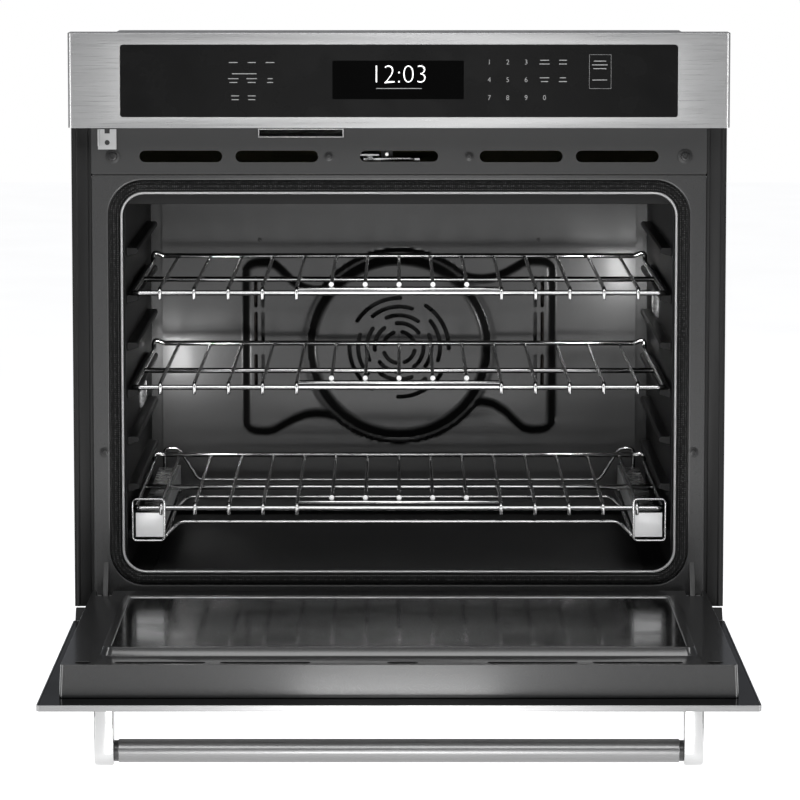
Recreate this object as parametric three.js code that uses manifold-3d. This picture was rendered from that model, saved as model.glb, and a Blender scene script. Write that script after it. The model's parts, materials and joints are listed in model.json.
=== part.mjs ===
// Built-in single wall oven, modelled with its drop-down door open and its racks in.
// Millimetres. +X is the oven's right as seen from the room, -Y points into the room, +Z is up.
// Y = 0 is the cabinet face that the side trims lap, and Z = 0 is the floor of the cut-out.
import * as THREE from "three";
import { mergeVertices } from "three/addons/utils/BufferGeometryUtils.js";
import Module from "manifold-3d";

const wasm = await Module();
wasm.setup();

// ---------------------------------------------------------------- driving sizes
const BODY_WIDTH = 717; // case behind the cabinet face
const BODY_HEIGHT = 692;
const BODY_DEPTH = 591;
const TRIM_WIDTH = 19.5; // lap over the cabinet on each side
const SHEET = 1.5; // folded steel
const GAP = 0.3; // clearance between pieces that meet
const PANEL_HEIGHT = 108.4; // control panel
const PANEL_RISE = 17.5; // panel above the case's top
const FRONT_DEPTH = 48; // panel and closed door stand this far into the room
const DOOR_REVEAL = 5.1; // between panel and closed door
const DOOR_BOTTOM = 54; // closed door's lower edge
const SKIN_DEPTH = 6.5; // outer skin's folded edge
const LINER_DEPTH = 35; // stamped liner behind the skin
const OPEN_ANGLE = Math.PI / 2; // the door as it lies open
const PIVOT_Y = -20; // door hinge pin
const PIVOT_Z = 49.6;
const VENT_HEIGHT = 56.3; // dark vent plate between panel and front frame
const FRAME_BOTTOM = 43;
const FRAME_BORDER = 33; // front frame's width beside the oven's mouth
const MOUTH_RADIUS = 27;
const GASKET_WIDTH = 12.4;
const CAVITY_INSET = 5; // cavity wall inside the mouth
const BACK_SPACE = 79; // cavity cover to the case's back
const FAN_SPACE = 38; // cavity cover to the cavity's back wall
const LOWEST_LEVEL = 128; // first rack ledge
const LEVELS = 7;
const HEADROOM = 62; // top ledge to the ceiling
const TOP_RACK_LEVEL = 5;
const MIDDLE_RACK_LEVEL = 3;
const RAIL_RADIUS = 3.2; // rack frame wire
const WIRE_RADIUS = 2.2; // rack cross wire
const WIRE_COUNT = 15;
const PULL_WIRES = 5; // wires that stop short for the hand pull
const PULL_DEPTH = 47;
const GLASS_THICK = 4;
const HANDLE_RADIUS = 12.4;
const HANDLE_STANDOFF = 50.2;
const POST_WIDTH = 20.4;
const HANDLE_DROP = 46.4; // handle below the door's top edge

// ---------------------------------------------------------------- facets
const ARC_STEPS = 2; // half the segments of a corner arc
const ROUND_SIDES = 20;
const WIRE_SIDES = 6;
const CORNER = 1; // smallest corner radius

// ---------------------------------------------------------------- shared places
const HALF = BODY_WIDTH / 2 + TRIM_WIDTH;
const CASE_HALF = BODY_WIDTH / 2;
const PANEL_TOP = BODY_HEIGHT + PANEL_RISE;
const PANEL_BOTTOM = PANEL_TOP - PANEL_HEIGHT;
const PANEL_FRONT = -FRONT_DEPTH;
const FRAME_FACE = -3; // front plane of frame and vent plate
const FRAME_TOP = PANEL_BOTTOM - VENT_HEIGHT;
const FRAME_HALF = CASE_HALF - 3.5;
const MOUTH_HALF = FRAME_HALF - FRAME_BORDER;
const MOUTH_TOP = FRAME_TOP - 19.1;
const MOUTH_BOTTOM = FRAME_BOTTOM + 38.3;
const GASKET_REACH = 13; // gasket's outer edge from the mouth
const CAVITY_HALF = MOUTH_HALF - CAVITY_INSET;
const CAVITY_FLOOR = MOUTH_BOTTOM - 4.3;
const CAVITY_CEILING = MOUTH_TOP - 3.5;
const CAVITY_FRONT = 8;
const COVER_BACK = BODY_DEPTH - BACK_SPACE;
const CAVITY_BACK = COVER_BACK + FAN_SPACE;
const LEVEL_PITCH = (CAVITY_CEILING - HEADROOM - LOWEST_LEVEL) / (LEVELS - 1);
const RACK_HALF = CAVITY_HALF - 7.5;
const RACK_FRONT = 32;
const RACK_BACK = COVER_BACK - 51;
const LEDGE_REACH = 13; // ledge into the cavity from the side wall
const LEDGE_HEIGHT = 10;
const DOOR_TOP = PANEL_BOTTOM - DOOR_REVEAL;
const SKIN_BACK = PANEL_FRONT + SKIN_DEPTH;
const LINER_FACE = SKIN_BACK + LINER_DEPTH;
const LINER_TOP = FRAME_TOP + 5.8;
const LINER_BOTTOM = DOOR_BOTTOM + 2;
const LINER_HALF = FRAME_HALF + 0.8;
const HINGE_X = FRAME_HALF - 14;
const HANDLE_Z = DOOR_TOP - HANDLE_DROP;
const POST_X = LINER_HALF - 46;
const FAN_Z = (CAVITY_FLOOR + CAVITY_CEILING) / 2 - 6;

// ---------------------------------------------------------------- solids
function solid(geometry) {
  const bare = geometry.index ? geometry.toNonIndexed() : geometry.clone();
  bare.deleteAttribute("normal");
  bare.deleteAttribute("uv");
  const merged = mergeVertices(bare);
  const vertProperties = new Float32Array(merged.attributes.position.array);
  const triVerts = new Uint32Array(merged.index.array);
  return new wasm.Manifold(new wasm.Mesh({ numProp: 3, vertProperties, triVerts }));
}

function geometryOf(body) {
  const mesh = body.getMesh();
  const geometry = new THREE.BufferGeometry();
  geometry.setAttribute("position", new THREE.BufferAttribute(mesh.vertProperties, 3));
  geometry.setIndex(new THREE.BufferAttribute(mesh.triVerts, 1));
  geometry.computeVertexNormals();
  return geometry;
}

const join = (...bodies) => bodies.reduce((whole, piece) => whole.add(piece));
const cut = (body, ...tools) => tools.reduce((whole, tool) => whole.subtract(tool), body);

// A block between two corners.
function block([x0, x1], [y0, y1], [z0, z1]) {
  const geometry = new THREE.BoxGeometry(x1 - x0, y1 - y0, z1 - z0);
  return solid(geometry.translate((x0 + x1) / 2, (y0 + y1) / 2, (z0 + z1) / 2));
}

function roundedRect([a0, a1], [b0, b1], radius) {
  const shape = new THREE.Shape();
  shape.absarc(a1 - radius, b0 + radius, radius, -Math.PI / 2, 0);
  shape.absarc(a1 - radius, b1 - radius, radius, 0, Math.PI / 2);
  shape.absarc(a0 + radius, b1 - radius, radius, Math.PI / 2, Math.PI);
  shape.absarc(a0 + radius, b0 + radius, radius, Math.PI, Math.PI * 1.5);
  return shape;
}

function polygon(...points) {
  return new THREE.Shape(points.map(([a, b]) => new THREE.Vector2(a, b)));
}

function extruded(shape, depth, extra = {}) {
  const options = { depth, bevelEnabled: false, curveSegments: ARC_STEPS, ...extra };
  return new THREE.ExtrudeGeometry(shape, options);
}

// An outline in X and Z, extruded from y0 to y1.
function alongY(shape, y0, y1) {
  return solid(extruded(shape, y1 - y0).rotateX(Math.PI / 2).translate(0, y1, 0));
}

// An outline in Y and Z, extruded from x0 to x1.
function alongX(shape, x0, x1) {
  const turn = new THREE.Matrix4().set(0, 0, 1, 0, 1, 0, 0, 0, 0, 1, 0, 0, 0, 0, 0, 1);
  return solid(extruded(shape, x1 - x0).applyMatrix4(turn).translate(x0, 0, 0));
}

// An outline in X and Y, extruded from z0 to z1.
function alongZ(shape, z0, z1) {
  return solid(extruded(shape, z1 - z0).translate(0, 0, z0));
}

function rod(from, to, radius, sides = WIRE_SIDES) {
  const start = new THREE.Vector3(...from);
  const end = new THREE.Vector3(...to);
  const run = end.clone().sub(start);
  const geometry = new THREE.CylinderGeometry(radius, radius, run.length(), sides);
  const heading = run.clone().normalize();
  geometry.applyQuaternion(new THREE.Quaternion().setFromUnitVectors(THREE.Object3D.DEFAULT_UP, heading));
  return solid(geometry.translate(...start.add(end).multiplyScalar(0.5).toArray()));
}

// A wire bent through points: straight rods, each run on into its corner.
function bentWire(points, radius) {
  const rods = points.slice(1).map((point, index) => {
    const start = new THREE.Vector3(...points[index]);
    const end = new THREE.Vector3(...point);
    const lead = end.clone().sub(start).setLength(radius * 0.8);
    return rod(start.sub(lead).toArray(), end.add(lead).toArray(), radius);
  });
  return join(...rods);
}

// A round tube along a smooth curve.
function tube(points, radius, steps) {
  const path = new THREE.CatmullRomCurve3(points.map((p) => new THREE.Vector3(...p)));
  const section = new THREE.Shape().absarc(0, 0, radius, 0, Math.PI * 2);
  return solid(extruded(section, 1, { steps, extrudePath: path, curveSegments: WIRE_SIDES / 2 }));
}

// A round body about an axis along Y: profile pairs are radius and Y, from low Y to high Y.
function turnedY(profile, x, z, sides = ROUND_SIDES) {
  const points = profile.map(([radius, y]) => new THREE.Vector2(radius, y));
  return solid(new THREE.LatheGeometry(points, sides).translate(x, 0, z));
}

// A frame in X and Z: the band of one width inside a rounded rectangle.
function band(half, [bottom, top], radius, width, y0, y1) {
  const outer = roundedRect([-half, half], [bottom, top], radius);
  const inside = Math.max(radius - width, CORNER);
  const inner = roundedRect([width - half, half - width], [bottom + width, top - width], inside);
  return cut(alongY(outer, y0, y1), alongY(inner, y0 - 1, y1 + 1));
}

// A round-ended slot in X and Z, as a tool that cuts through Y.
function slotTool([x0, x1], [z0, z1], [y0, y1]) {
  const radius = Math.min(x1 - x0, z1 - z0) * 0.49;
  return alongY(roundedRect([x0, x1], [z0, z1], radius), y0, y1);
}

// ---------------------------------------------------------------- case
const LIP = 12; // folded edges of the case's panels
const LOUVRE = { width: 60, height: 5, pitch: 14, rows: 5, inset: 90 };
const RIB = { foot: 14, crown: 8, height: 2.5, low: 0.12, high: 0.86 }; // stiffener pressed in each side
const CASE_FRONT = 3;
const TRAY_FRONT = -12; // the floor runs out under the door's hinges

// The floor of the case: a tray whose edges turn up inside the side panels.
function basePanel() {
  const edge = CASE_HALF - SHEET - GAP;
  const tray = block([-edge, edge], [TRAY_FRONT, BODY_DEPTH - SHEET - GAP], [0, SHEET]);
  const lips = [-1, 1].map((side) => {
    const xs = [side * edge, side * (edge - SHEET)].sort((a, b) => a - b);
    return block(xs, [CASE_FRONT + LIP, BODY_DEPTH - LIP], [0, LIP]);
  });
  return join(tray, ...lips);
}

// The top: a sheet with its front edge turned down and rows of louvres over the blower.
function topPanel() {
  const edge = CASE_HALF - SHEET - GAP;
  const top = BODY_HEIGHT;
  const sheet = block([-edge, edge], [CASE_FRONT, BODY_DEPTH - SHEET - GAP], [top - SHEET, top]);
  const lip = block([-edge, edge], [CASE_FRONT, CASE_FRONT + SHEET], [top - LIP, top]);
  const slots = [];
  for (let row = 0; row < LOUVRE.rows; row += 1) {
    const y = BODY_DEPTH - LOUVRE.inset - row * LOUVRE.pitch;
    for (const side of [-1, 1]) {
      const xs = [side - 0.5, side + 0.5].map((share) => share * LOUVRE.width);
      slots.push(block(xs, [y, y + LOUVRE.height], [top - LIP, top + 1]));
    }
  }
  return cut(join(sheet, lip), ...slots);
}

// One side of the case, with a folded front and back edge.
function sidePanel() {
  const outer = CASE_HALF;
  const sheet = block([outer - SHEET, outer], [CASE_FRONT, BODY_DEPTH], [0, BODY_HEIGHT]);
  const stiffeners = [0.3, 0.7].map((share) => {
    const y = BODY_DEPTH * share;
    const { foot, crown, height, low, high } = RIB;
    const crest = outer + height;
    const rib = polygon([outer - 1, y - foot], [crest, y - crown], [crest, y + crown], [outer - 1, y + foot]);
    return alongZ(rib, BODY_HEIGHT * low, BODY_HEIGHT * high);
  });
  return join(sheet, ...stiffeners);
}

// The back: a sheet between the sides, with louvres behind the fan motor and a conduit hole.
function backPanel() {
  const edge = CASE_HALF - SHEET - GAP;
  const [low, high] = [SHEET + GAP, BODY_HEIGHT - SHEET - GAP];
  const sheet = block([-edge, edge], [BODY_DEPTH - SHEET, BODY_DEPTH], [low, high]);
  const slots = [];
  for (let row = 0; row < LOUVRE.rows; row += 1) {
    const z = FAN_Z - LOUVRE.pitch * 2 + row * LOUVRE.pitch;
    const through = [BODY_DEPTH - SHEET - 1, BODY_DEPTH + 1];
    slots.push(slotTool([-LOUVRE.width, LOUVRE.width], [z, z + LOUVRE.height], through));
  }
  return cut(sheet, ...slots);
}

// The side trim laps the cabinet face, with a folded bead along its outer edge and a leg into the case.
function mountingRail() {
  const inner = CASE_HALF - SHEET - GAP;
  const lap = inner + 1.2;
  const profile = polygon(
    [inner - SHEET, 30],
    [inner - SHEET, -0.5],
    [lap + 1, -0.5],
    [lap + 1, -2],
    [HALF - 7, -2],
    [HALF - 6, -3],
    [HALF - 4, -3],
    [HALF - 3, -2],
    [HALF - 1, -2],
    [HALF, -1],
    [HALF, 0],
    [CASE_HALF + GAP, 0],
    [CASE_HALF + GAP, 1.5],
    [inner, 1.5],
    [inner, 30],
  );
  return alongZ(profile, FRAME_BOTTOM - 2, BODY_HEIGHT - LIP - GAP);
}

const TRIM_LOUVRE = {
  half: 70,
  height: 5,
  rows: [-12, -1, 10],
  centres: [-240, -80, 80, 240],
  cut: [-22, -15],
};

// Louvred trim that closes the gap under the door.
function bottomTrim() {
  const reach = HALF - 1.5;
  const profile = polygon([-20, -21], [-3.3, -21], [-3.3, 40], [-8, 40], [-20, 27]);
  const shell = polygon([-18.5, -19.5], [-3, -19.5], [-3, 38.5], [-8.6, 38.5], [-18.5, 26.4]);
  const body = cut(alongX(profile, -reach, reach), alongX(shell, SHEET - reach, reach - SHEET));
  const slots = [];
  for (const z of TRIM_LOUVRE.rows) {
    for (const x of TRIM_LOUVRE.centres) {
      const xs = [x - TRIM_LOUVRE.half, x + TRIM_LOUVRE.half];
      slots.push(block(xs, TRIM_LOUVRE.cut, [z, z + TRIM_LOUVRE.height]));
    }
  }
  return cut(body, ...slots);
}

// ---------------------------------------------------------------- front
const GASKET_OUT = MOUTH_HALF + GASKET_REACH;
const GASKET_SPAN = [MOUTH_BOTTOM - GASKET_REACH - 1.2, MOUTH_TOP + GASKET_REACH - 0.8];
const CHANNEL_FLOOR = 5;
const HINGE_SLOT = { inner: 3.6, outer: 6, z: [52, 110] };
const COLLAR_FRONT = -1.5;
const COLLAR_BACK = CAVITY_FRONT - GAP;
const FRAME_RETURN = 8; // the frame's outer edge is folded back to here

// Enamelled face around the mouth: an outer return, a channel for the gasket and a collar into the cavity.
function frontFrame() {
  const spans = [FRAME_BOTTOM, FRAME_TOP];
  const channel = GASKET_OUT + GAP + 0.3;
  const channelSpan = [GASKET_SPAN[0] - GAP - 0.3, GASKET_SPAN[1] + GAP + 0.3];
  const corner = MOUTH_RADIUS + GASKET_REACH;
  const collar = MOUTH_HALF - 1.2;
  const collarSpan = [MOUTH_BOTTOM, MOUTH_TOP - 2];
  const face = alongY(roundedRect([-FRAME_HALF, FRAME_HALF], spans, 3), FRAME_FACE, FRAME_FACE + SHEET);
  const faceReturn = band(FRAME_HALF, spans, 3, SHEET, FRAME_FACE, FRAME_RETURN);
  const channelHole = roundedRect([-channel, channel], channelSpan, corner);
  const well = [channel + SHEET, [channelSpan[0] - SHEET, channelSpan[1] + SHEET], corner + SHEET];
  const channelWall = band(...well, SHEET, FRAME_FACE, CHANNEL_FLOOR + SHEET);
  const floorWidth = channel + SHEET - collar;
  const channelFloor = band(...well, floorWidth, CHANNEL_FLOOR, CHANNEL_FLOOR + SHEET);
  const lipSpan = [collarSpan[0] - SHEET, collarSpan[1] + SHEET];
  const lip = band(collar + SHEET, lipSpan, MOUTH_RADIUS + SHEET, SHEET, COLLAR_FRONT, COLLAR_BACK);
  const open = cut(face, alongY(channelHole, FRAME_FACE - 1, 1));
  const mouth = roundedRect([-collar, collar], collarSpan, MOUTH_RADIUS);
  const slots = [-1, 1].map((side) => {
    const xs = [side * (HINGE_X - HINGE_SLOT.inner), side * (HINGE_X + HINGE_SLOT.outer)];
    return block([Math.min(...xs), Math.max(...xs)], [FRAME_FACE - 1, 0], HINGE_SLOT.z);
  });
  const body = join(open, faceReturn, channelWall, channelFloor, lip);
  return cut(body, alongY(mouth, FRAME_FACE - 1, FRAME_RETURN + 1), ...slots);
}

// Woven seal in the channel: a band with its face crowned into the room.
function doorGasket() {
  const radius = MOUTH_RADIUS + GASKET_REACH;
  const seat = band(GASKET_OUT, GASKET_SPAN, radius, GASKET_WIDTH, -4, CHANNEL_FLOOR - GAP);
  const crown = 3;
  const crownSpan = [GASKET_SPAN[0] + crown, GASKET_SPAN[1] - crown];
  const face = band(GASKET_OUT - crown, crownSpan, radius - crown, GASKET_WIDTH - 2 * crown, -6, -3.9);
  return join(seat, face);
}

const VENT_SLOT = { length: 95.4, height: 13.2, centres: [140.8, 251.6], z: FRAME_TOP + 21.2 };
const LATCH_SLOT = { half: 45, z: [VENT_SLOT.z - 6, VENT_SLOT.z + 6.5] };
const OUTLET = { x: [-161, -65], z: [PANEL_BOTTOM - 12, PANEL_BOTTOM - 4.2], wall: 1.2 };

// Dark plate over the mouth: four air slots, the latch's opening and the steam outlet.
function ventPlate() {
  const spans = [FRAME_TOP + GAP, PANEL_BOTTOM + 28];
  const plate = alongY(roundedRect([-FRAME_HALF, FRAME_HALF], spans, 2), FRAME_FACE, FRAME_FACE + SHEET);
  const through = [FRAME_FACE - 1, 0];
  const slots = VENT_SLOT.centres.flatMap((centre) =>
    [-centre, centre].map((x) => {
      const xs = [x - VENT_SLOT.length / 2, x + VENT_SLOT.length / 2];
      return slotTool(xs, [VENT_SLOT.z - VENT_SLOT.height / 2, VENT_SLOT.z + VENT_SLOT.height / 2], through);
    }),
  );
  const latch = slotTool([-LATCH_SLOT.half, LATCH_SLOT.half], LATCH_SLOT.z, through);
  const margin = GAP + OUTLET.wall;
  const outlet = block(
    [OUTLET.x[0] - margin, OUTLET.x[1] + margin],
    through,
    [OUTLET.z[0] - margin, OUTLET.z[1] + margin],
  );
  return cut(plate, ...slots, latch, outlet);
}

// Duct that carries steam from the cavity to the outlet under the control panel.
function exhaustDuct() {
  const [x0, x1] = OUTLET.x;
  const [z0, z1] = OUTLET.z;
  const wall = OUTLET.wall;
  const outer = block([x0 - wall, x1 + wall], [-5, 70], [z0 - wall, z1 + wall]);
  return cut(outer, block([x0, x1], [-6, 71], [z0, z1]));
}

// Small punched bracket beside the vent plate.
function ventBracket() {
  const x = -FRAME_HALF + 18.8;
  const [low, high] = [PANEL_BOTTOM - 27, PANEL_BOTTOM - 3.6];
  const y = FRAME_FACE - GAP;
  const plate = block([x - 10.6, x + 10.6], [y - SHEET, y], [low, high]);
  const tab = block([x - 10.6, x - 9.1], [y - 8, y], [low + 4, high]);
  const notch = block([x - 3, x + 3], [y - SHEET - 1, y + 1], [high - 5, high + 1]);
  const hole = rod([x, y - SHEET - 1, low + 8], [x, y + 1, low + 8], 3, 12);
  return cut(join(plate, tab), notch, hole);
}

// ---------------------------------------------------------------- control panel
const GLASS = { half: HALF - 60, bottom: PANEL_BOTTOM + 12.7, top: PANEL_TOP - 13.5 };
const PANEL_SHEET = 2;

// Stainless surround: a deep tray, open at the back, with softly rolled side edges.
function controlFrame() {
  const back = FRAME_FACE - GAP;
  const roll = 5;
  const outline = new THREE.Shape();
  outline.moveTo(HALF, back);
  outline.lineTo(-HALF, back);
  outline.absarc(roll - HALF, PANEL_FRONT + roll, roll, Math.PI, Math.PI * 1.5);
  outline.absarc(HALF - roll, PANEL_FRONT + roll, roll, -Math.PI / 2, 0);
  const shell = alongZ(outline, PANEL_BOTTOM, PANEL_TOP);
  const hollow = block(
    [PANEL_SHEET + roll - HALF, HALF - roll - PANEL_SHEET],
    [PANEL_FRONT + PANEL_SHEET, back + 1],
    [PANEL_BOTTOM + PANEL_SHEET, PANEL_TOP - PANEL_SHEET],
  );
  const window = roundedRect(
    [-GLASS.half - GAP, GLASS.half + GAP],
    [GLASS.bottom - GAP, GLASS.top + GAP],
    3,
  );
  return cut(shell, hollow, alongY(window, PANEL_FRONT - 1, PANEL_FRONT + 5));
}

function controlGlass() {
  const face = roundedRect([-GLASS.half, GLASS.half], [GLASS.bottom, GLASS.top], 3);
  return alongY(face, PANEL_FRONT + 0.2, PANEL_FRONT + 0.2 + GLASS_THICK);
}

// Display behind the glass, and the board that carries it and the touch keys.
function displayModule() {
  const y = PANEL_FRONT + 0.2 + GLASS_THICK + GAP;
  return block([-78, 76], [y, y + 9], [PANEL_BOTTOM + 31, PANEL_BOTTOM + 79]);
}

function controlBoard() {
  const y = PANEL_FRONT + GLASS_THICK + 12;
  const board = block([30 - GLASS.half, GLASS.half - 30], [y, y + 1.6], [GLASS.bottom + 6, GLASS.top - 6]);
  const chips = [-200, -120, 120, 200].map((x) =>
    block([x - 18, x + 18], [y + 1, y + 9], [PANEL_BOTTOM + 40, PANEL_BOTTOM + 70]),
  );
  return join(board, ...chips);
}

// ---------------------------------------------------------------- latch and switch
const LATCH = { x: -34, y: 12, z: LATCH_SLOT.z[0] + 1, thick: 2.5, boss: 5 };

// Hook that swings out through its slot to hold the door shut while it cleans.
function latchHook() {
  const { x, y, z, thick, boss } = LATCH;
  const arm = polygon(
    [x - 7, y - 5],
    [x + 8, y - 5],
    [x + 48, y - 3],
    [x + 52, y - 8],
    [x + 58, y - 8],
    [x + 58, y - 1],
    [x + 30, y + 6],
    [x - 7, y + 6],
  );
  return join(alongZ(arm, z, z + thick), rod([x, y, z], [x, y, z + boss], 5.5, 10));
}

// Motor plate over the hook, with the motor's can clear of the steam outlet.
function latchMotor() {
  const { x, y, z, boss } = LATCH;
  const low = z + boss + GAP;
  const plate = block([x - 60, x + 11], [y - 9, y + 48], [low, low + 2]);
  return join(plate, rod([x - 34, y + 20, low + 1], [x - 34, y + 20, low + 19], 21));
}

const SWITCH = { x: -14, z: LATCH_SLOT.z[1] - 4, radius: 2 };

function doorSwitch() {
  const { x, z, radius } = SWITCH;
  const body = block([x - 7, x + 7], [24, 44], [z - 14, z + 3]);
  return cut(body, rod([x, 23, z], [x, 40, z], radius + GAP, 10));
}

function switchPlunger() {
  const { x, z, radius } = SWITCH;
  return join(
    rod([x, -5, z], [x, 33, z], radius, 10),
    rod([x, -5.8, z], [x, -4.6, z], radius - 0.8, 10),
  );
}

// ---------------------------------------------------------------- cavity
const FLOOR_RISE = { height: 3, slope: 4, inset: 30 }; // raised middle of the floor
const HEADER_DROP = 12; // strip under the ceiling's front edge

function cavityFloor() {
  const edge = CAVITY_HALF;
  const pan = block([-edge, edge], [CAVITY_FRONT, CAVITY_BACK - GAP], [CAVITY_FLOOR - SHEET, CAVITY_FLOOR]);
  const [front, back] = [CAVITY_FRONT + 16, COVER_BACK - 22];
  const [low, high] = [CAVITY_FLOOR - 1, CAVITY_FLOOR + FLOOR_RISE.height];
  const { slope, inset } = FLOOR_RISE;
  const rise = polygon([front, low], [front + slope, high], [back - slope, high], [back, low]);
  return join(pan, alongX(rise, inset - edge, edge - inset));
}

// The ceiling, with a header strip that hides the broil element from the front.
function cavityCeiling() {
  const edge = CAVITY_HALF;
  const run = [CAVITY_FRONT, CAVITY_BACK - GAP];
  const sheet = block([-edge, edge], run, [CAVITY_CEILING, CAVITY_CEILING + SHEET]);
  const headerSpan = [CAVITY_CEILING - HEADER_DROP, CAVITY_CEILING + 1];
  const header = block([-edge, edge], [CAVITY_FRONT, CAVITY_FRONT + SHEET], headerSpan);
  return join(sheet, header);
}

const LAMP = {
  y: [268, 330],
  height: Math.min(34, LEVEL_PITCH - LEDGE_HEIGHT - 5),
  depth: 6,
  base: 3,
  rim: 5,
};

// One side wall with its pressed rack ledges.
function cavityWall() {
  const inner = CAVITY_HALF + GAP;
  const span = [CAVITY_FLOOR - SHEET, CAVITY_CEILING + SHEET];
  const wall = block([inner, inner + SHEET], [CAVITY_FRONT, CAVITY_BACK - GAP], span);
  const ledges = [];
  for (let level = 0; level < LEVELS; level += 1) {
    const top = LOWEST_LEVEL + level * LEVEL_PITCH - RAIL_RADIUS - GAP;
    const section = polygon(
      [inner + 0.5, top],
      [inner - LEDGE_REACH + 2, top],
      [inner - LEDGE_REACH, top - 2],
      [inner - LEDGE_REACH, top - LEDGE_HEIGHT + 4],
      [inner + 0.5, top - LEDGE_HEIGHT],
    );
    ledges.push(alongY(section, RACK_FRONT + 8, RACK_BACK - 4));
  }
  return join(wall, ...ledges);
}

const lampZ = (level) => LOWEST_LEVEL + (level + 0.5) * LEVEL_PITCH - RAIL_RADIUS - LEDGE_HEIGHT / 2;

// Glass window over an oven light, between two ledges.
function lampLens(level) {
  const face = CAVITY_HALF;
  const z = lampZ(level);
  const half = LAMP.height / 2;
  const [y0, y1] = LAMP.y;
  const { rim } = LAMP;
  const crownHalf = half - rim;
  const base = roundedRect([y0, y1], [z - half, z + half], half * 0.47);
  const crown = roundedRect([y0 + rim, y1 - rim], [z - crownHalf, z + crownHalf], crownHalf * 0.5);
  return join(alongX(base, face - LAMP.base, face), alongX(crown, face - LAMP.depth, face - LAMP.base + 0.1));
}

function cavityBackWall() {
  const edge = CAVITY_HALF + GAP + SHEET;
  const span = [CAVITY_FLOOR - SHEET, CAVITY_CEILING + SHEET];
  const wall = block([-edge, edge], [CAVITY_BACK, CAVITY_BACK + SHEET], span);
  return cut(wall, rod([0, CAVITY_BACK - 1, FAN_Z], [0, CAVITY_BACK + 3, FAN_Z], 14));
}

// Thick blanket around the cavity.
function insulationWrap() {
  const y = [32, CAVITY_BACK - 4];
  const outer = block([-FRAME_HALF + 3, FRAME_HALF - 3], y, [FRAME_BOTTOM - 25, FRAME_TOP + 4]);
  const reach = MOUTH_HALF + 2;
  const inner = block([-reach, reach], [y[0] - 1, y[1] + 1], [CAVITY_FLOOR - 18, CAVITY_CEILING + 12]);
  return cut(outer, inner);
}

// ---------------------------------------------------------------- convection
const EMBOSS = 8; // bow tie's height on the cover
const EMBOSS_RUN = 9; // its sloped edge
const DOME = { outer: 123, inner: 103, height: 12, sides: 40 };
const FAN_SLOT = { radii: [20, 31, 41, 52, 63], width: 5, sweep: 1.05, lag: 0.28, start: 0.5, sets: 4 };
const SIDE_SLOT = { columns: [173, 182], rows: [-48, 6, 52], half: 2.4, length: 36 };
const LOBE = 199; // bow tie's reach each way
const COVER_SHEET = 1.5;

// Half of the bow tie: one rounded lobe whose edges sweep in to a waist that is lower on one side.
function lobeOutline(grow) {
  const shape = new THREE.Shape();
  const reach = LOBE + grow;
  const high = 113 + grow;
  shape.moveTo(0, 70 + grow);
  shape.lineTo(-70, 84 + grow);
  shape.bezierCurveTo(-95, 70 + grow, -120, 70 + grow, -138, 92 + grow);
  shape.bezierCurveTo(-150, 106 + grow, -158, high, -170, high);
  shape.absarc(-reach + 22, high - 22, 22, Math.PI / 2, Math.PI);
  shape.absarc(-reach + 22, -high + 22, 22, Math.PI, Math.PI * 1.5);
  shape.bezierCurveTo(-150, -high, -140, -91 - grow, -106, -91 - grow);
  shape.bezierCurveTo(-90, -91 - grow, -80, -94 - grow, -70, -98 - grow);
  shape.lineTo(0, -70 - grow);
  return shape;
}

// A flat-topped raised form on an outline, its edge sloped at the front.
function raised(grow, front, back) {
  const shape = lobeOutline(grow);
  const bevel = {
    bevelEnabled: true,
    bevelThickness: EMBOSS,
    bevelSize: EMBOSS_RUN,
    bevelOffset: -EMBOSS_RUN,
    bevelSegments: 1,
    curveSegments: 3,
  };
  const form = extruded(shape, back - front, bevel).rotateX(Math.PI / 2).translate(0, back + EMBOSS, 0);
  const lobes = [form.clone(), form.rotateY(Math.PI)].map((lobe) => solid(lobe.translate(0, 0, FAN_Z)));
  return join(...lobes);
}

// Round-ended arc slot, as a cutting tool.
function arcSlot(radius, width, from, to, [y0, y1]) {
  const shape = new THREE.Shape();
  shape.absarc(0, FAN_Z, radius + width / 2, from, to, false);
  shape.absarc(0, FAN_Z, radius - width / 2, to, from, true);
  return alongY(shape, y0, y1);
}

// Pinwheel of air slots in front of the fan, and the discharge slots in the lobes.
function coverSlots() {
  const through = [COVER_BACK - EMBOSS - DOME.height - 4, COVER_BACK + 2];
  const tools = [];
  for (let set = 0; set < FAN_SLOT.sets; set += 1) {
    FAN_SLOT.radii.forEach((radius, ringIndex) => {
      const start = (set * Math.PI * 2) / FAN_SLOT.sets + ringIndex * FAN_SLOT.lag + FAN_SLOT.start;
      tools.push(arcSlot(radius, FAN_SLOT.width, start, start + FAN_SLOT.sweep, through));
    });
  }
  for (const side of [-1, 1]) {
    for (const x of SIDE_SLOT.columns) {
      for (const z of SIDE_SLOT.rows) {
        const xs = [side * x - SIDE_SLOT.half, side * x + SIDE_SLOT.half];
        tools.push(block(xs, through, [FAN_Z + z, FAN_Z + z + SIDE_SLOT.length]));
      }
    }
  }
  return tools;
}

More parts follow.
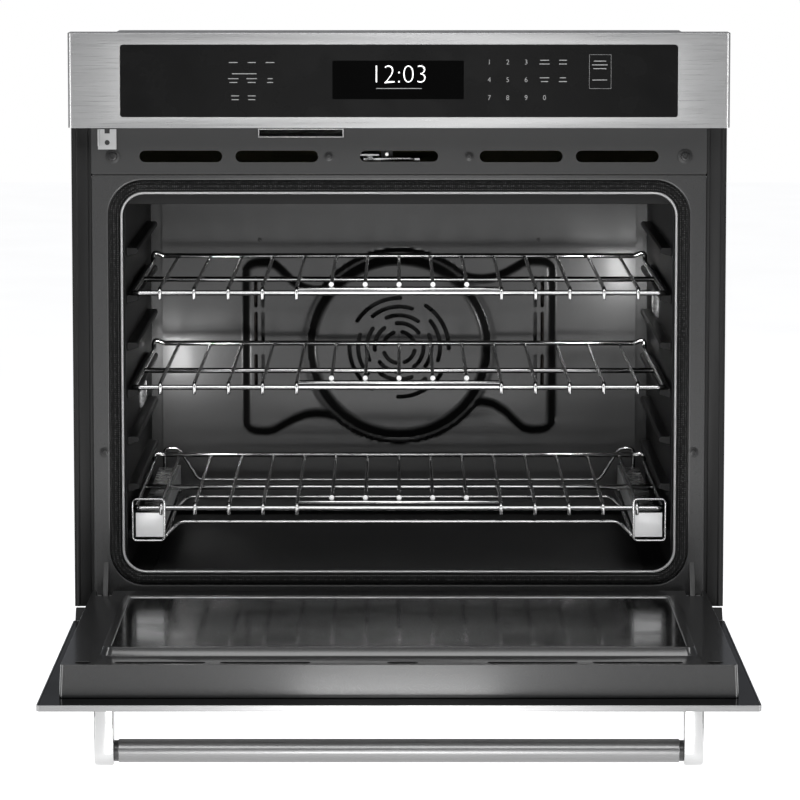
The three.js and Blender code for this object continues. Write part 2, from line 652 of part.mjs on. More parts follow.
// Pressed cover over the fan and its element: a hollow bow tie with a dished disc in the middle.
function convectionCover() {
  const back = COVER_BACK;
  const front = back - COVER_SHEET;
  const edge = CAVITY_HALF - 16;
  const spans = [CAVITY_FLOOR + 6, CAVITY_CEILING - 2];
  const plate = alongY(roundedRect([-edge, edge], spans, 14), front, back);
  const step = front - EMBOSS;
  const disc = (grow, y) => {
    const [inner, outerR] = [DOME.inner + grow, DOME.outer + grow];
    const [face, rim] = [y - DOME.height, y + EMBOSS];
    const profile = [[0, face], [inner, face], [outerR, y], [outerR, rim], [0, rim]];
    return turnedY(profile, 0, FAN_Z, DOME.sides);
  };
  const outer = join(plate, raised(0, step, front), disc(0, step));
  const hollow = join(raised(-COVER_SHEET, step + COVER_SHEET, back), disc(-COVER_SHEET, step + COVER_SHEET));
  const shell = cut(outer, hollow, block([-edge, edge], [back, back + 60], spans));
  return cut(shell, ...coverSlots());
}

// Heating tube bent to the bow tie, behind the cover, its two ends turned back at the top.
function convectionElement() {
  const y = COVER_BACK + 12;
  const lobe = [
    [92, 66], [112, 66], [150, 92], [178, 90], [184, 60], [184, -60],
    [178, -90], [150, -86], [110, -80], [70, -88], [20, -108],
  ];
  const left = lobe.map(([x, z]) => [-x, y, FAN_Z + z]);
  const right = lobe.map(([x, z]) => [x, y, FAN_Z - z]);
  const ends = [[-80, y + 18, FAN_Z + 68], [14, y + 18, FAN_Z + 110]];
  return tube([ends[0], ...left, ...right, ends[1]], 3.4, 44);
}

// Fan wheel with radial blades, on its shaft through the back wall.
function convectionFan() {
  const y = COVER_BACK + 8;
  const disc = turnedY([[0, y + 20], [72, y + 20], [72, y + 21.5], [0, y + 21.5]], 0, FAN_Z);
  const hub = rod([0, y + 4, FAN_Z], [0, y + 21, FAN_Z], 12, 12);
  const shaft = rod([0, y + 18, FAN_Z], [0, CAVITY_BACK + 9, FAN_Z], 5, 12);
  const blades = [];
  for (let index = 0; index < 8; index += 1) {
    const blade = new THREE.BoxGeometry(38, 18.5, 1.6).translate(53, y + 11.25, 0);
    blades.push(solid(blade.rotateY((index * Math.PI) / 4).translate(0, 0, FAN_Z)));
  }
  return join(disc, hub, shaft, ...blades);
}

function convectionMotor() {
  const y = CAVITY_BACK + SHEET + GAP;
  const mount = turnedY([[0, y], [44, y], [44, y + 2], [0, y + 2]], 0, FAN_Z);
  const can = turnedY([[0, y + 1], [32, y + 1], [32, BODY_DEPTH - 8], [0, BODY_DEPTH - 8]], 0, FAN_Z);
  const bore = rod([0, y - 1, FAN_Z], [0, CAVITY_BACK + 10, FAN_Z], 5 + GAP, 12);
  return cut(join(mount, can), bore);
}

const BROIL = { tail: 60, loop: 90, radius: 3.2 };
const BAKE = { tail: 40, run: 60, radius: 3.2 };

// Serpentine broil element under the ceiling.
function broilElement() {
  const z = CAVITY_CEILING - 7;
  const reach = CAVITY_HALF - 70;
  const [front, back] = [70, COVER_BACK - 40];
  const { tail, loop, radius } = BROIL;
  const [outside, inside] = [back - 20, back - 60];
  const half = [
    [tail, COVER_BACK - 5],
    [tail, outside],
    [reach, outside],
    [reach, front],
    [reach - loop, front],
    [reach - loop, inside],
    [reach - 2 * loop, inside],
    [reach - 2 * loop, front],
  ];
  const mirrored = half.map(([x, y]) => [-x, y]).reverse();
  return bentWire([...half, ...mirrored].map(([x, y]) => [x, y, z]), radius);
}

// Bake element hidden under the cavity floor.
function bakeElement() {
  const z = CAVITY_FLOOR - 10;
  const reach = CAVITY_HALF - 80;
  const [front, back] = [90, COVER_BACK - 60];
  const { tail, run, radius } = BAKE;
  const half = [[tail, back + run], [tail, back], [reach, back], [reach, front]];
  const mirrored = half.map(([x, y]) => [-x, y]).reverse();
  return bentWire([...half, ...mirrored].map(([x, y]) => [x, y, z]), radius);
}

function temperatureSensor() {
  const x = CAVITY_HALF - 62;
  const z = CAVITY_CEILING - 30;
  const back = COVER_BACK - COVER_SHEET - GAP;
  const flange = block([x - 12, x + 12], [back - SHEET, back], [z - 9, z + 9]);
  return join(rod([x, back - 70, z], [x, back, z], 2.6, 10), flange);
}

// ---------------------------------------------------------------- blower and wiring box
const BLOWER = { x: 0, y: 300, z: FRAME_TOP + 62, half: 78 };

// Blower scroll over the insulation, blowing out through the vent slots.
function coolingHousing() {
  const { x, y, z, half } = BLOWER;
  const shell = block([x - half, x + half], [y - half, y + half], [z - 34, z + 34]);
  const hollow = rod([x, y, z - 32], [x, y, z + 40], half - 4, ROUND_SIDES);
  const mouth = block([x - 55, x + 55], [y - half - 1, y], [z - 30, z + 30]);
  return cut(shell, hollow, mouth);
}

function coolingWheel() {
  const { x, y, z, half } = BLOWER;
  const disc = rod([x, y, z - 28], [x, y, z - 26], half - 10, ROUND_SIDES);
  const hub = rod([x, y, z - 31], [x, y, z + 8], 12, 12);
  const blades = [];
  for (let index = 0; index < 12; index += 1) {
    const blade = new THREE.BoxGeometry(13, 1.6, 48.5).translate(half - 17.5, 0, z - 2.25);
    blades.push(solid(blade.rotateZ((index * Math.PI) / 6).translate(x, y, 0)));
  }
  return join(disc, hub, ...blades);
}

// Wiring box on the case's back, with a ring for the conduit and no cable.
function terminalBox() {
  const [x, z] = [CASE_HALF - 90, BODY_HEIGHT - 64];
  const y = BODY_DEPTH - SHEET - GAP;
  const body = block([x - 45, x + 45], [y - 46, y], [z - 30, z + 30]);
  const ring = rod([x - 57, y - 23, z], [x - 44, y - 23, z], 15, 16);
  const bore = rod([x - 58, y - 23, z], [x - 40, y - 23, z], 11, 16);
  const hollow = block([x - 43.5, x + 43.5], [y - 44.5, y - 1.5], [z - 28.5, z + 28.5]);
  return cut(join(body, ring), hollow, bore);
}

// ---------------------------------------------------------------- racks
const WIRE_SPAN = RACK_HALF - 31; // outermost cross wires
const PULL_HALF = (WIRE_SPAN * (PULL_WIRES + 1)) / (WIRE_COUNT - 1);
const MID_RAIL = { back: 185, drop: 0.25 };
const WELD = 0.2; // wires sink this far into each other
const HOOK_DROP = 6.5; // cross wires hook down this far in front
const wireX = (index) => ((2 * index) / (WIRE_COUNT - 1) - 1) * WIRE_SPAN;

// Welded wire rack. z is the height of its front rail; wires lie over the rails and hook down in front.
function rack(z, onGlides = false) {
  const over = RAIL_RADIUS + WIRE_RADIUS - WELD;
  const backZ = z + over + RAIL_RADIUS - WELD;
  const midY = RACK_FRONT + MID_RAIL.back;
  const midZ = z - MID_RAIL.drop;
  const pullY = RACK_FRONT + PULL_DEPTH;
  const riseX = RACK_HALF - 14;
  const end = onGlides ? backZ : backZ + 5;
  const pieces = [
    rod([-RACK_HALF, RACK_FRONT, z], [RACK_HALF, RACK_FRONT, z], RAIL_RADIUS),
    rod([-riseX, RACK_BACK, backZ], [riseX, RACK_BACK, backZ], RAIL_RADIUS),
    rod([1 - RACK_HALF, midY, midZ], [RACK_HALF - 1, midY, midZ], RAIL_RADIUS),
    rod([-PULL_HALF, pullY, z], [PULL_HALF, pullY, z], RAIL_RADIUS),
  ];
  for (const side of [-1, 1]) {
    const x = side * RACK_HALF;
    const inner = side * riseX;
    const corners = [[x, RACK_FRONT, z], [x, RACK_BACK, z], [x, RACK_BACK, end], [inner, RACK_BACK, backZ]];
    pieces.push(bentWire(corners, RAIL_RADIUS - 0.3));
  }
  const pullStart = (WIRE_COUNT - PULL_WIRES) / 2;
  for (let index = 0; index < WIRE_COUNT; index += 1) {
    const x = wireX(index);
    const short = index >= pullStart && index < pullStart + PULL_WIRES;
    const hook = RACK_FRONT - RAIL_RADIUS - WIRE_RADIUS + WELD;
    const start = short ? pullY - 1 : hook;
    pieces.push(rod([x, start - WIRE_RADIUS, z + over], [x, RACK_BACK + 1, z + over], WIRE_RADIUS));
    if (!short) {
      pieces.push(rod([x, hook, z - HOOK_DROP], [x, hook, z + over + WIRE_RADIUS], WIRE_RADIUS - 0.1));
    }
  }
  if (onGlides) {
    const y = RACK_FRONT - RAIL_RADIUS - WIRE_RADIUS + 2 * WELD;
    for (const side of [-1, 1]) {
      const [inner, outer] = [side * (RACK_HALF - 30), side * (RACK_HALF + 1)];
      const [low, high] = [z - 38, z + 11];
      const corners = [[outer, high], [inner, high], [inner, low], [outer, low], [outer, high]];
      pieces.push(bentWire(corners.map(([x, height]) => [x, y, height]), WIRE_RADIUS - 0.2));
    }
  }
  return join(...pieces);
}

const levelZ = (level) => LOWEST_LEVEL + level * LEVEL_PITCH;
const ROLL_RACK_Z = LOWEST_LEVEL + 24;
const GLIDE = { x: RACK_HALF - 17.5, half: 11, z: [LOWEST_LEVEL - 6.5, LOWEST_LEVEL + 17] };
const GLIDE_WALL = 3;

// Wire carriage under the roll-out rack; it holds the two glide rails.
function glideFrame() {
  const z = LOWEST_LEVEL - 9;
  const inner = GLIDE.x - GLIDE.half - 8;
  const drop = inner - 16;
  const back = RACK_BACK + 9;
  const at = (y, points) => bentWire(points.map(([x, height]) => [x, y, z + height]), WIRE_RADIUS);
  const pieces = [RACK_FRONT + 6, RACK_FRONT + 220].map((y) =>
    at(y, [[-inner, 0], [-drop, 16], [drop, 16], [inner, 0]]),
  );
  const rise = [[inner, 0], [inner + 24, 0], [inner + 24, 48], [inner + 6, 48], [inner - 19, 8]];
  pieces.push(at(back, [...rise.map(([x, height]) => [-x, height]), ...rise.reverse()]));
  for (const side of [-1, 1]) {
    pieces.push(rod([side * inner, RACK_FRONT + 4, z], [side * inner, back + 1, z], WIRE_RADIUS + 0.5));
    for (const y of [RACK_FRONT + 40, RACK_BACK - 30]) {
      pieces.push(rod([side * inner, y, z], [side * (GLIDE.x + GLIDE.half - 1), y, z], WIRE_RADIUS));
    }
  }
  return join(...pieces);
}

// Glide rail: a channel open towards the middle, with a foot that rests on the lowest ledge.
function glideRail() {
  const { x, half, z } = GLIDE;
  const [low, high] = z;
  const [inner, outer] = [x - half, x + half];
  const section = polygon(
    [inner, low],
    [outer, low],
    [outer, high],
    [inner, high],
    [inner, high - GLIDE_WALL],
    [outer - GLIDE_WALL, high - GLIDE_WALL],
    [outer - GLIDE_WALL, low + GLIDE_WALL],
    [inner, low + GLIDE_WALL],
  );
  const ledge = LOWEST_LEVEL - RAIL_RADIUS;
  const foot = block([outer - 0.5, RACK_HALF - 0.5], [RACK_FRONT + 12, RACK_BACK - 11], [ledge, ledge + 2]);
  return join(alongY(section, RACK_FRONT + 6, RACK_BACK - 10), foot);
}

// Sliding member inside the glide rail: a bar, a web up to the rack and a bright plate in front.
function glideRunner() {
  const { x, half, z } = GLIDE;
  const [low, high] = [z[0] + GLIDE_WALL + GAP, z[1] - GLIDE_WALL - GAP];
  const ys = [RACK_FRONT + 5, RACK_BACK - 14];
  const inner = x - half - GAP;
  const bar = block([inner - 5, x + half - GLIDE_WALL - GAP], ys, [low, high]);
  const web = block([inner - 5, inner - 0.2], ys, [low, ROLL_RACK_Z - RAIL_RADIUS - GAP]);
  const plate = block([inner - 5, RACK_HALF - 1], [ys[0] - 3.5, ys[0] + 0.5], [z[0] - 4, z[1] + 1]);
  return join(bar, web, plate);
}

// ---------------------------------------------------------------- door, built shut
const DOOR_SPAN = [DOOR_BOTTOM, DOOR_TOP];
const WINDOW = { half: HALF - 78, z: [DOOR_BOTTOM + 88, DOOR_TOP - 122] };
const PLATEAU = { half: MOUTH_HALF - 4, z: [MOUTH_BOTTOM + 60.3, MOUTH_TOP - 33.1], height: 8.5, slope: 3 };
const SEAT = 8; // rim around the inner glass
const SEAT_RIM = 7; // the glass rests on this much all round
const GLASS_SINK = 1.5; // inner glass below the rim

// Closed outline through two rounded rectangles at two depths: the lower and wider one first.
function tapered([halfA, spanA], [halfB, spanB], radius, y0, y1) {
  const a = roundedRect([-halfA, halfA], spanA, radius).extractPoints(ARC_STEPS).shape;
  const b = roundedRect([-halfB, halfB], spanB, radius).extractPoints(ARC_STEPS).shape;
  const positions = [...a.map((p) => [p.x, y0, p.y]), ...b.map((p) => [p.x, y1, p.y])].flat();
  const count = a.length;
  const faces = [];
  for (let index = 0; index < count; index += 1) {
    const next = (index + 1) % count;
    faces.push(index, count + index, next, next, count + index, count + next);
    if (index > 1) {
      faces.push(0, index - 1, index);
      faces.push(count, count + index, count + index - 1);
    }
  }
  const geometry = new THREE.BufferGeometry();
  geometry.setAttribute("position", new THREE.Float32BufferAttribute(positions, 3));
  geometry.setIndex(faces);
  return solid(geometry);
}

// Stainless outer skin: a tray with folded edges and a window.
function doorSkin() {
  const tray = alongY(roundedRect([-HALF, HALF], DOOR_SPAN, 4), PANEL_FRONT, SKIN_BACK);
  const inner = roundedRect([SHEET - HALF, HALF - SHEET], [DOOR_BOTTOM + SHEET, DOOR_TOP - SHEET], 3);
  const hollow = alongY(inner, PANEL_FRONT + SHEET, SKIN_BACK + 1);
  const window = roundedRect([-WINDOW.half, WINDOW.half], WINDOW.z, 6);
  return cut(tray, hollow, alongY(window, PANEL_FRONT - 1, SKIN_BACK));
}

// Dark glass in the skin's window.
function outerGlass() {
  const reach = WINDOW.half - GAP;
  const pane = roundedRect([-reach, reach], [WINDOW.z[0] + GAP, WINDOW.z[1] - GAP], 6);
  return alongY(pane, PANEL_FRONT + 0.4, PANEL_FRONT + 0.4 + GLASS_THICK);
}

// Black inner frame inside the skin's edges; it holds the glass and carries the liner.
function doorBorder() {
  const y0 = PANEL_FRONT + 0.4 + GLASS_THICK + GAP;
  const edge = HALF - SHEET - GAP;
  const plate = roundedRect([-edge, edge], [DOOR_BOTTOM + SHEET + GAP, DOOR_TOP - SHEET - GAP], 3);
  const view = roundedRect([20 - WINDOW.half, WINDOW.half - 20], [WINDOW.z[0] + 20, WINDOW.z[1] - 20], 6);
  return cut(alongY(plate, y0, SKIN_BACK - GAP), alongY(view, y0 - 1, SKIN_BACK + 1));
}

const HINGE_NOTCH = { half: 9.5, top: 94 };

// Stamped liner: a drafted tray with a raised window frame, air slots and notches for the hinges.
function doorLiner() {
  const base = [LINER_HALF + 1.8, [LINER_BOTTOM, LINER_TOP + 1.8]];
  const face = [LINER_HALF, [LINER_BOTTOM, LINER_TOP]];
  const start = SKIN_BACK + GAP;
  const outer = tapered(base, face, 5, start, LINER_FACE);
  const shrink = ([half, [low, high]]) => [half - SHEET, [low + SHEET, high - SHEET]];
  const hollow = tapered(shrink(base), shrink(face), 4, start - 1, LINER_FACE - SHEET);
  const { half, z, height, slope } = PLATEAU;
  const foot = [half, [z[0] - slope, z[1] + slope]];
  const crown = [half - slope, z];
  const plateau = tapered(foot, crown, 12, LINER_FACE - 0.5, LINER_FACE + height);
  const top = LINER_FACE + height;
  const plateauHollow = tapered(shrink(foot), shrink(crown), 11, LINER_FACE - SHEET - 1, top - SHEET);
  const seatHalf = half - slope - SEAT;
  const seat = [z[0] + SEAT, z[1] - SEAT];
  const view = seatHalf - SEAT_RIM;
  const viewSpan = [seat[0] + SEAT_RIM, seat[1] - SEAT_RIM];
  const floor = top - GLASS_SINK - GLASS_THICK - GAP;
  const seatOutline = roundedRect([-seatHalf - 2, seatHalf + 2], [seat[0] - 2, seat[1] + 2], 6);
  const seatBody = alongY(seatOutline, floor - SHEET, top - 0.5);
  const seatHole = alongY(roundedRect([-seatHalf, seatHalf], seat, 5), floor, top + 1);
  const viewHole = alongY(roundedRect([-view, view], viewSpan, 5), floor - 5, top + 1);
  const notches = [-HINGE_X, HINGE_X].map((x) => {
    const xs = [x - HINGE_NOTCH.half, x + HINGE_NOTCH.half];
    return block(xs, [start - 2, LINER_FACE + 1], [LINER_BOTTOM - 1, HINGE_NOTCH.top]);
  });
  const body = join(cut(join(outer, plateau), hollow, plateauHollow), seatBody);
  return cut(body, seatHole, viewHole, ...notches, ...linerSlots());
}

// Air slots near the liner's top edge, in line with the vent plate's, and one for the latch.
function linerSlots() {
  const through = [LINER_FACE - 6, LINER_FACE + 1];
  const z = [LINER_TOP - 19.5, LINER_TOP - 8];
  const half = VENT_SLOT.length / 2;
  const spans = VENT_SLOT.centres.map((centre) => [centre - half, centre + half]);
  spans.push([LINER_HALF - 31.5, LINER_HALF - 14.5]);
  const sided = spans.flatMap(([a, b]) => [slotTool([a, b], z, through), slotTool([-b, -a], z, through)]);
  return [...sided, slotTool([-12.5, 20.5], z, through)];
}

function innerGlass() {
  const half = PLATEAU.half - PLATEAU.slope - SEAT - GAP;
  const z = [PLATEAU.z[0] + SEAT + GAP, PLATEAU.z[1] - SEAT - GAP];
  const back = LINER_FACE + PLATEAU.height - GLASS_SINK;
  return alongY(roundedRect([-half, half], z, 4), back - GLASS_THICK, back);
}

// Middle pane between the skin's frame and the liner.
function middleGlass() {
  const y = SKIN_BACK + 14;
  const half = WINDOW.half - 8;
  return alongY(roundedRect([-half, half], [WINDOW.z[0] + 4, WINDOW.z[1] - 4], 5), y, y + GLASS_THICK);
}

const HINGE = { half: 9, wall: 4.5, eye: 7.5, pin: 3.5, length: 120, arm: 3 };

// Hinge body in the door: a channel with two ears and the pin that the arm turns on.
function hingeBody() {
  const x = HINGE_X;
  const [y0, y1] = [SKIN_BACK + GAP + 1, LINER_FACE - SHEET - 5];
  const { half, wall, eye, pin } = HINGE;
  const inside = half - wall;
  const top = DOOR_BOTTOM + HINGE.length;
  const outer = block([x - half, x + half], [y0, y1], [LINER_BOTTOM + 1, top]);
  const slot = block([x - inside, x + inside], [y0 + 3, y1 + 1], [LINER_BOTTOM, top + 1]);
  const ears = [-half, inside].map((offset) => {
    const xs = [x + offset, x + offset + wall];
    const ring = rod([xs[0], PIVOT_Y, PIVOT_Z], [xs[1], PIVOT_Y, PIVOT_Z], eye, 16);
    const neck = block(xs, [PIVOT_Y - 7, PIVOT_Y + 7], [PIVOT_Z, LINER_BOTTOM + 2]);
    return join(ring, neck);
  });
  const axle = rod([x - half, PIVOT_Y, PIVOT_Z], [x + half, PIVOT_Y, PIVOT_Z], pin, 16);
  return join(cut(outer, slot), ...ears, axle);
}

// Hinge arm: fixed in the case through the frame's slot, with an eye around the door's pin.
function hingeArm() {
  const [x0, x1] = [HINGE_X - HINGE.arm, HINGE_X + HINGE.arm];
  const link = polygon([-27, 51], [-15, 74], [4, 104], [22, 104], [22, 64], [4, 64], [-13, 46]);
  const eye = rod([x0, PIVOT_Y, PIVOT_Z], [x1, PIVOT_Y, PIVOT_Z], HINGE.eye, 16);
  const bore = rod([x0 - 1, PIVOT_Y, PIVOT_Z], [x1 + 1, PIVOT_Y, PIVOT_Z], HINGE.pin + GAP, 16);
  return cut(join(alongX(link, x0, x1), eye), bore);
}

// ---------------------------------------------------------------- handle
const HANDLE_Y = PANEL_FRONT - HANDLE_STANDOFF;
const POST = { rootHalf: 14, nose: 15.5 };
const COLLAR = { length: 5, step: 1.2 };

// Solid post with a rounded end that the bar seats in.
function handlePost() {
  const shape = new THREE.Shape();
  const root = PANEL_FRONT - GAP;
  const { rootHalf, nose } = POST;
  shape.moveTo(root, HANDLE_Z - rootHalf);
  shape.lineTo(root, HANDLE_Z + rootHalf);
  shape.lineTo(HANDLE_Y, HANDLE_Z + nose);
  shape.absarc(HANDLE_Y, HANDLE_Z, nose, Math.PI / 2, Math.PI * 1.5);
  return alongX(shape, POST_X - POST_WIDTH / 2, POST_X + POST_WIDTH / 2);
}

// Round bar with a short collar at each end.
function handleBar() {
  const end = POST_X - POST_WIDTH / 2 - GAP;
  const bar = rod([-end + 4, HANDLE_Y, HANDLE_Z], [end - 4, HANDLE_Y, HANDLE_Z], HANDLE_RADIUS, ROUND_SIDES);
  const collars = [-1, 1].map((side) =>
    rod(
      [side * end, HANDLE_Y, HANDLE_Z],
      [side * (end - COLLAR.length), HANDLE_Y, HANDLE_Z],
      HANDLE_RADIUS - COLLAR.step,
      ROUND_SIDES,
    ),
  );
  return join(bar, ...collars);
}

// ---------------------------------------------------------------- assembly
const STAINLESS = { color: 0xa9a9a7, metalness: 1, roughness: 0.32 };
const CHROME = { color: 0xd8d8d8, metalness: 1, roughness: 0.14 };
const GALVANISED = { color: 0x9a9d9f, metalness: 1, roughness: 0.5 };
const ENAMEL = { color: 0x37383a, metalness: 0, roughness: 0.25 };
const DARK_PAINT = { color: 0x1c1d1f, metalness: 0, roughness: 0.5 };
const BLACK_GLASS = { color: 0x050506, metalness: 0, roughness: 0.05 };
const CLEAR_GLASS = { color: 0x30363a, metalness: 0, roughness: 0.05 };
const WOVEN = { color: 0x1a1815, metalness: 0, roughness: 0.95 };
const WOOL = { color: 0xd8cf9c, metalness: 0, roughness: 1 };
const BOARD = { color: 0x12512c, metalness: 0, roughness: 0.6 };
const SHEATH = { color: 0x2b2b2c, metalness: 0.8, roughness: 0.55 };

const oven = new THREE.Group();
const doorHinge = new THREE.Group();
const door = new THREE.Group();
doorHinge.position.set(0, PIVOT_Y, PIVOT_Z);
doorHinge.rotation.x = OPEN_ANGLE;
door.position.set(0, -PIVOT_Y, -PIVOT_Z);
doorHinge.add(door);
oven.add(doorHinge);

function place(group, name, body, finish, side = 1) {
  const mesh = new THREE.Mesh(geometryOf(body), new THREE.MeshStandardMaterial(finish));
  mesh.name = name;
  mesh.scale.x = side;
  group.add(mesh);
}

function placePair(group, name, body, finish) {
  place(group, `${name}_right`, body, finish);
  place(group, `${name}_left`, body, finish, -1);
}

place(oven, "base_panel", basePanel(), GALVANISED);
place(oven, "top_panel", topPanel(), GALVANISED);
place(oven, "back_panel", backPanel(), GALVANISED);
placePair(oven, "side_panel", sidePanel(), GALVANISED);
placePair(oven, "mounting_rail", mountingRail(), DARK_PAINT);
place(oven, "bottom_trim", bottomTrim(), DARK_PAINT);
place(oven, "front_frame", frontFrame(), ENAMEL);
place(oven, "door_gasket", doorGasket(), WOVEN);
place(oven, "vent_plate", ventPlate(), DARK_PAINT);
place(oven, "exhaust_duct", exhaustDuct(), STAINLESS);
place(oven, "vent_bracket", ventBracket(), GALVANISED);
place(oven, "control_frame", controlFrame(), STAINLESS);
place(oven, "control_glass", controlGlass(), BLACK_GLASS);
place(oven, "display_module", displayModule(), DARK_PAINT);
place(oven, "control_board", controlBoard(), BOARD);
place(oven, "latch_hook", latchHook(), CHROME);
place(oven, "latch_motor", latchMotor(), GALVANISED);
place(oven, "door_switch", doorSwitch(), DARK_PAINT);
place(oven, "switch_plunger", switchPlunger(), WOOL);

place(oven, "cavity_floor", cavityFloor(), ENAMEL);
place(oven, "cavity_ceiling", cavityCeiling(), ENAMEL);
placePair(oven, "cavity_wall", cavityWall(), ENAMEL);
place(oven, "cavity_back", cavityBackWall(), ENAMEL);
place(oven, "lamp_lens_right", lampLens(4), CLEAR_GLASS);
place(oven, "lamp_lens_left", lampLens(2), CLEAR_GLASS, -1);
place(oven, "insulation_wrap", insulationWrap(), WOOL);

place(oven, "convection_cover", convectionCover(), ENAMEL);
place(oven, "convection_element", convectionElement(), SHEATH);
place(oven, "convection_fan", convectionFan(), GALVANISED);
place(oven, "convection_motor", convectionMotor(), GALVANISED);
place(oven, "broil_element", broilElement(), SHEATH);
place(oven, "bake_element", bakeElement(), SHEATH);
place(oven, "temperature_sensor", temperatureSensor(), CHROME);
place(oven, "cooling_housing", coolingHousing(), GALVANISED);
place(oven, "cooling_wheel", coolingWheel(), GALVANISED);
place(oven, "terminal_box", terminalBox(), GALVANISED);

place(oven, "top_rack", rack(levelZ(TOP_RACK_LEVEL)), CHROME);
place(oven, "middle_rack", rack(levelZ(MIDDLE_RACK_LEVEL)), CHROME);
place(oven, "bottom_rack", rack(ROLL_RACK_Z, true), CHROME);
place(oven, "glide_frame", glideFrame(), CHROME);
placePair(oven, "glide_rail", glideRail(), CHROME);
placePair(oven, "glide_runner", glideRunner(), CHROME);

placePair(oven, "hinge_arm", hingeArm(), GALVANISED);
placePair(door, "hinge_body", hingeBody(), GALVANISED);
place(door, "door_skin", doorSkin(), STAINLESS);
place(door, "door_outer_glass", outerGlass(), BLACK_GLASS);
place(door, "door_border", doorBorder(), DARK_PAINT);
place(door, "door_middle_glass", middleGlass(), CLEAR_GLASS);
place(door, "door_liner", doorLiner(), ENAMEL);
place(door, "door_inner_glass", innerGlass(), BLACK_GLASS);
placePair(door, "handle_post", handlePost(), STAINLESS);
place(door, "handle_bar", handleBar(), STAINLESS);

export default oven;
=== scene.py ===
"""Looks for a built-in wall oven that stands with its drop-down door open.

Metres throughout, in the frame's own axes: +X to the oven's right as seen from the room,
+Y into the cabinet, +Z up. Places come from the frame's boxes.
"""

import json
import math

import bmesh
import bpy
import numpy as np
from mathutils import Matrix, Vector


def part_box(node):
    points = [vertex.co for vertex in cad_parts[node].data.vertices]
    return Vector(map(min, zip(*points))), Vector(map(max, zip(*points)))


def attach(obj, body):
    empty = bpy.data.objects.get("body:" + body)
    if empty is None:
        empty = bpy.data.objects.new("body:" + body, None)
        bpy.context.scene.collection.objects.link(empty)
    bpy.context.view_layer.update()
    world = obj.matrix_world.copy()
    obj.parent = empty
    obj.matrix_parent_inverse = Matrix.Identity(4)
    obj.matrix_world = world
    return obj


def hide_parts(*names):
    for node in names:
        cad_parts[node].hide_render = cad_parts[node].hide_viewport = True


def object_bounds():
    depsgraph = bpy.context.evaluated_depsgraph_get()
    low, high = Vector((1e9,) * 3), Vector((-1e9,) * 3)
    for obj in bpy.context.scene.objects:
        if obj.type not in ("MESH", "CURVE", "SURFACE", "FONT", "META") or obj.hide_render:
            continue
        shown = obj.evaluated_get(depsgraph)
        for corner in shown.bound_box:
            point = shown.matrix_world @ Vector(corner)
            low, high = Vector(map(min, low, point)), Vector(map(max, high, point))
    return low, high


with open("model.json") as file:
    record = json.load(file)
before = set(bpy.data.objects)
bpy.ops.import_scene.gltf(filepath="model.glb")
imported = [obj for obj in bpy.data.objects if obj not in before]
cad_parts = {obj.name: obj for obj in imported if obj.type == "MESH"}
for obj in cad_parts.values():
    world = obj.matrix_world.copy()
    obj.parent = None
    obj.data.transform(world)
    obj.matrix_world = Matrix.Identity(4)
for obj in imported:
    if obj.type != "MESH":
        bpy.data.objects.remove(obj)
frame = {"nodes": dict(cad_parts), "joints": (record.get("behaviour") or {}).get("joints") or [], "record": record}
cad_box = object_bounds()
MM = 0.001
TAU = 2 * math.pi
SIDES = ((-1, "left"), (1, "right"))

# ---- places, from the frame
BODY_OF = {node: body for body, nodes in frame["record"]["behaviour"]["bodies"].items() for node in nodes}
SLOT_OF = {part["node"]: part["material_slot"] for part in frame["record"]["subparts"]}
BOX = {node: [np.array(corner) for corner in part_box(node)] for node in BODY_OF}
HINGE = np.array(next(j["pos_m"] for j in frame["joints"] if j["name"] == "door_hinge"))


def low(node, axis):
    """A node's lowest coordinate on one axis."""
    return float(BOX[node][0][axis])


def high(node, axis):
    """A node's highest coordinate on one axis."""
    return float(BOX[node][1][axis])


def mid(node, axis):
    """Half way between a node's lowest and highest coordinate on one axis."""
    return (low(node, axis) + high(node, axis)) / 2


# ---- mesh helpers
def grid_faces(rows, columns, wrap=False):
    """Quads of a grid of rows x columns points; wrap joins each row's last column to its first."""
    row = np.arange(rows - 1)[:, None]
    column = np.arange(columns if wrap else columns - 1)[None, :]
    following = (column + 1) % columns
    quads = [row * columns + column, row * columns + following,
             (row + 1) * columns + following, (row + 1) * columns + column]
    return np.stack(np.broadcast_arrays(*quads), -1).reshape(-1, 4)


def joined(parts):
    """Several (points, faces) pairs as one pair."""
    points, faces, offset = [], [], 0
    for some_points, some_faces in parts:
        points.append(some_points)
        faces.append(some_faces + offset)
        offset += len(some_points)
    return np.concatenate(points), np.concatenate(faces)


def shown(name, data):
    """A new object for some data, put into the scene."""
    item = bpy.data.objects.new(name, data)
    bpy.context.scene.collection.objects.link(item)
    return item


def piece(name, shape, body, material, replaces=(), sharp=None):
    """A mesh object from (points, quads), shaded smooth, that rides on a body."""
    points, faces = shape
    mesh = bpy.data.meshes.new(name)
    mesh.from_pydata(np.asarray(points, float).tolist(), [], np.asarray(faces).tolist())
    mesh.update()
    return finished(name, mesh, body, material, replaces, sharp)


def finished(name, mesh, body, material, replaces=(), sharp=None):
    """Merges doubles, points faces outwards, shades smooth and hangs the mesh on its body."""
    work = bmesh.new()
    work.from_mesh(mesh)
    bmesh.ops.remove_doubles(work, verts=work.verts, dist=1e-6)
    bmesh.ops.recalc_face_normals(work, faces=work.faces)
    work.to_mesh(mesh)
    work.free()
    mesh.polygons.foreach_set("use_smooth", [True] * len(mesh.polygons))
    if sharp is not None:
        mesh.set_sharp_from_angle(angle=math.radians(sharp))
    item = shown(name, mesh)
    mesh.materials.append(material)
    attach(item, body)
    if replaces:
        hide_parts(*replaces)
    return item


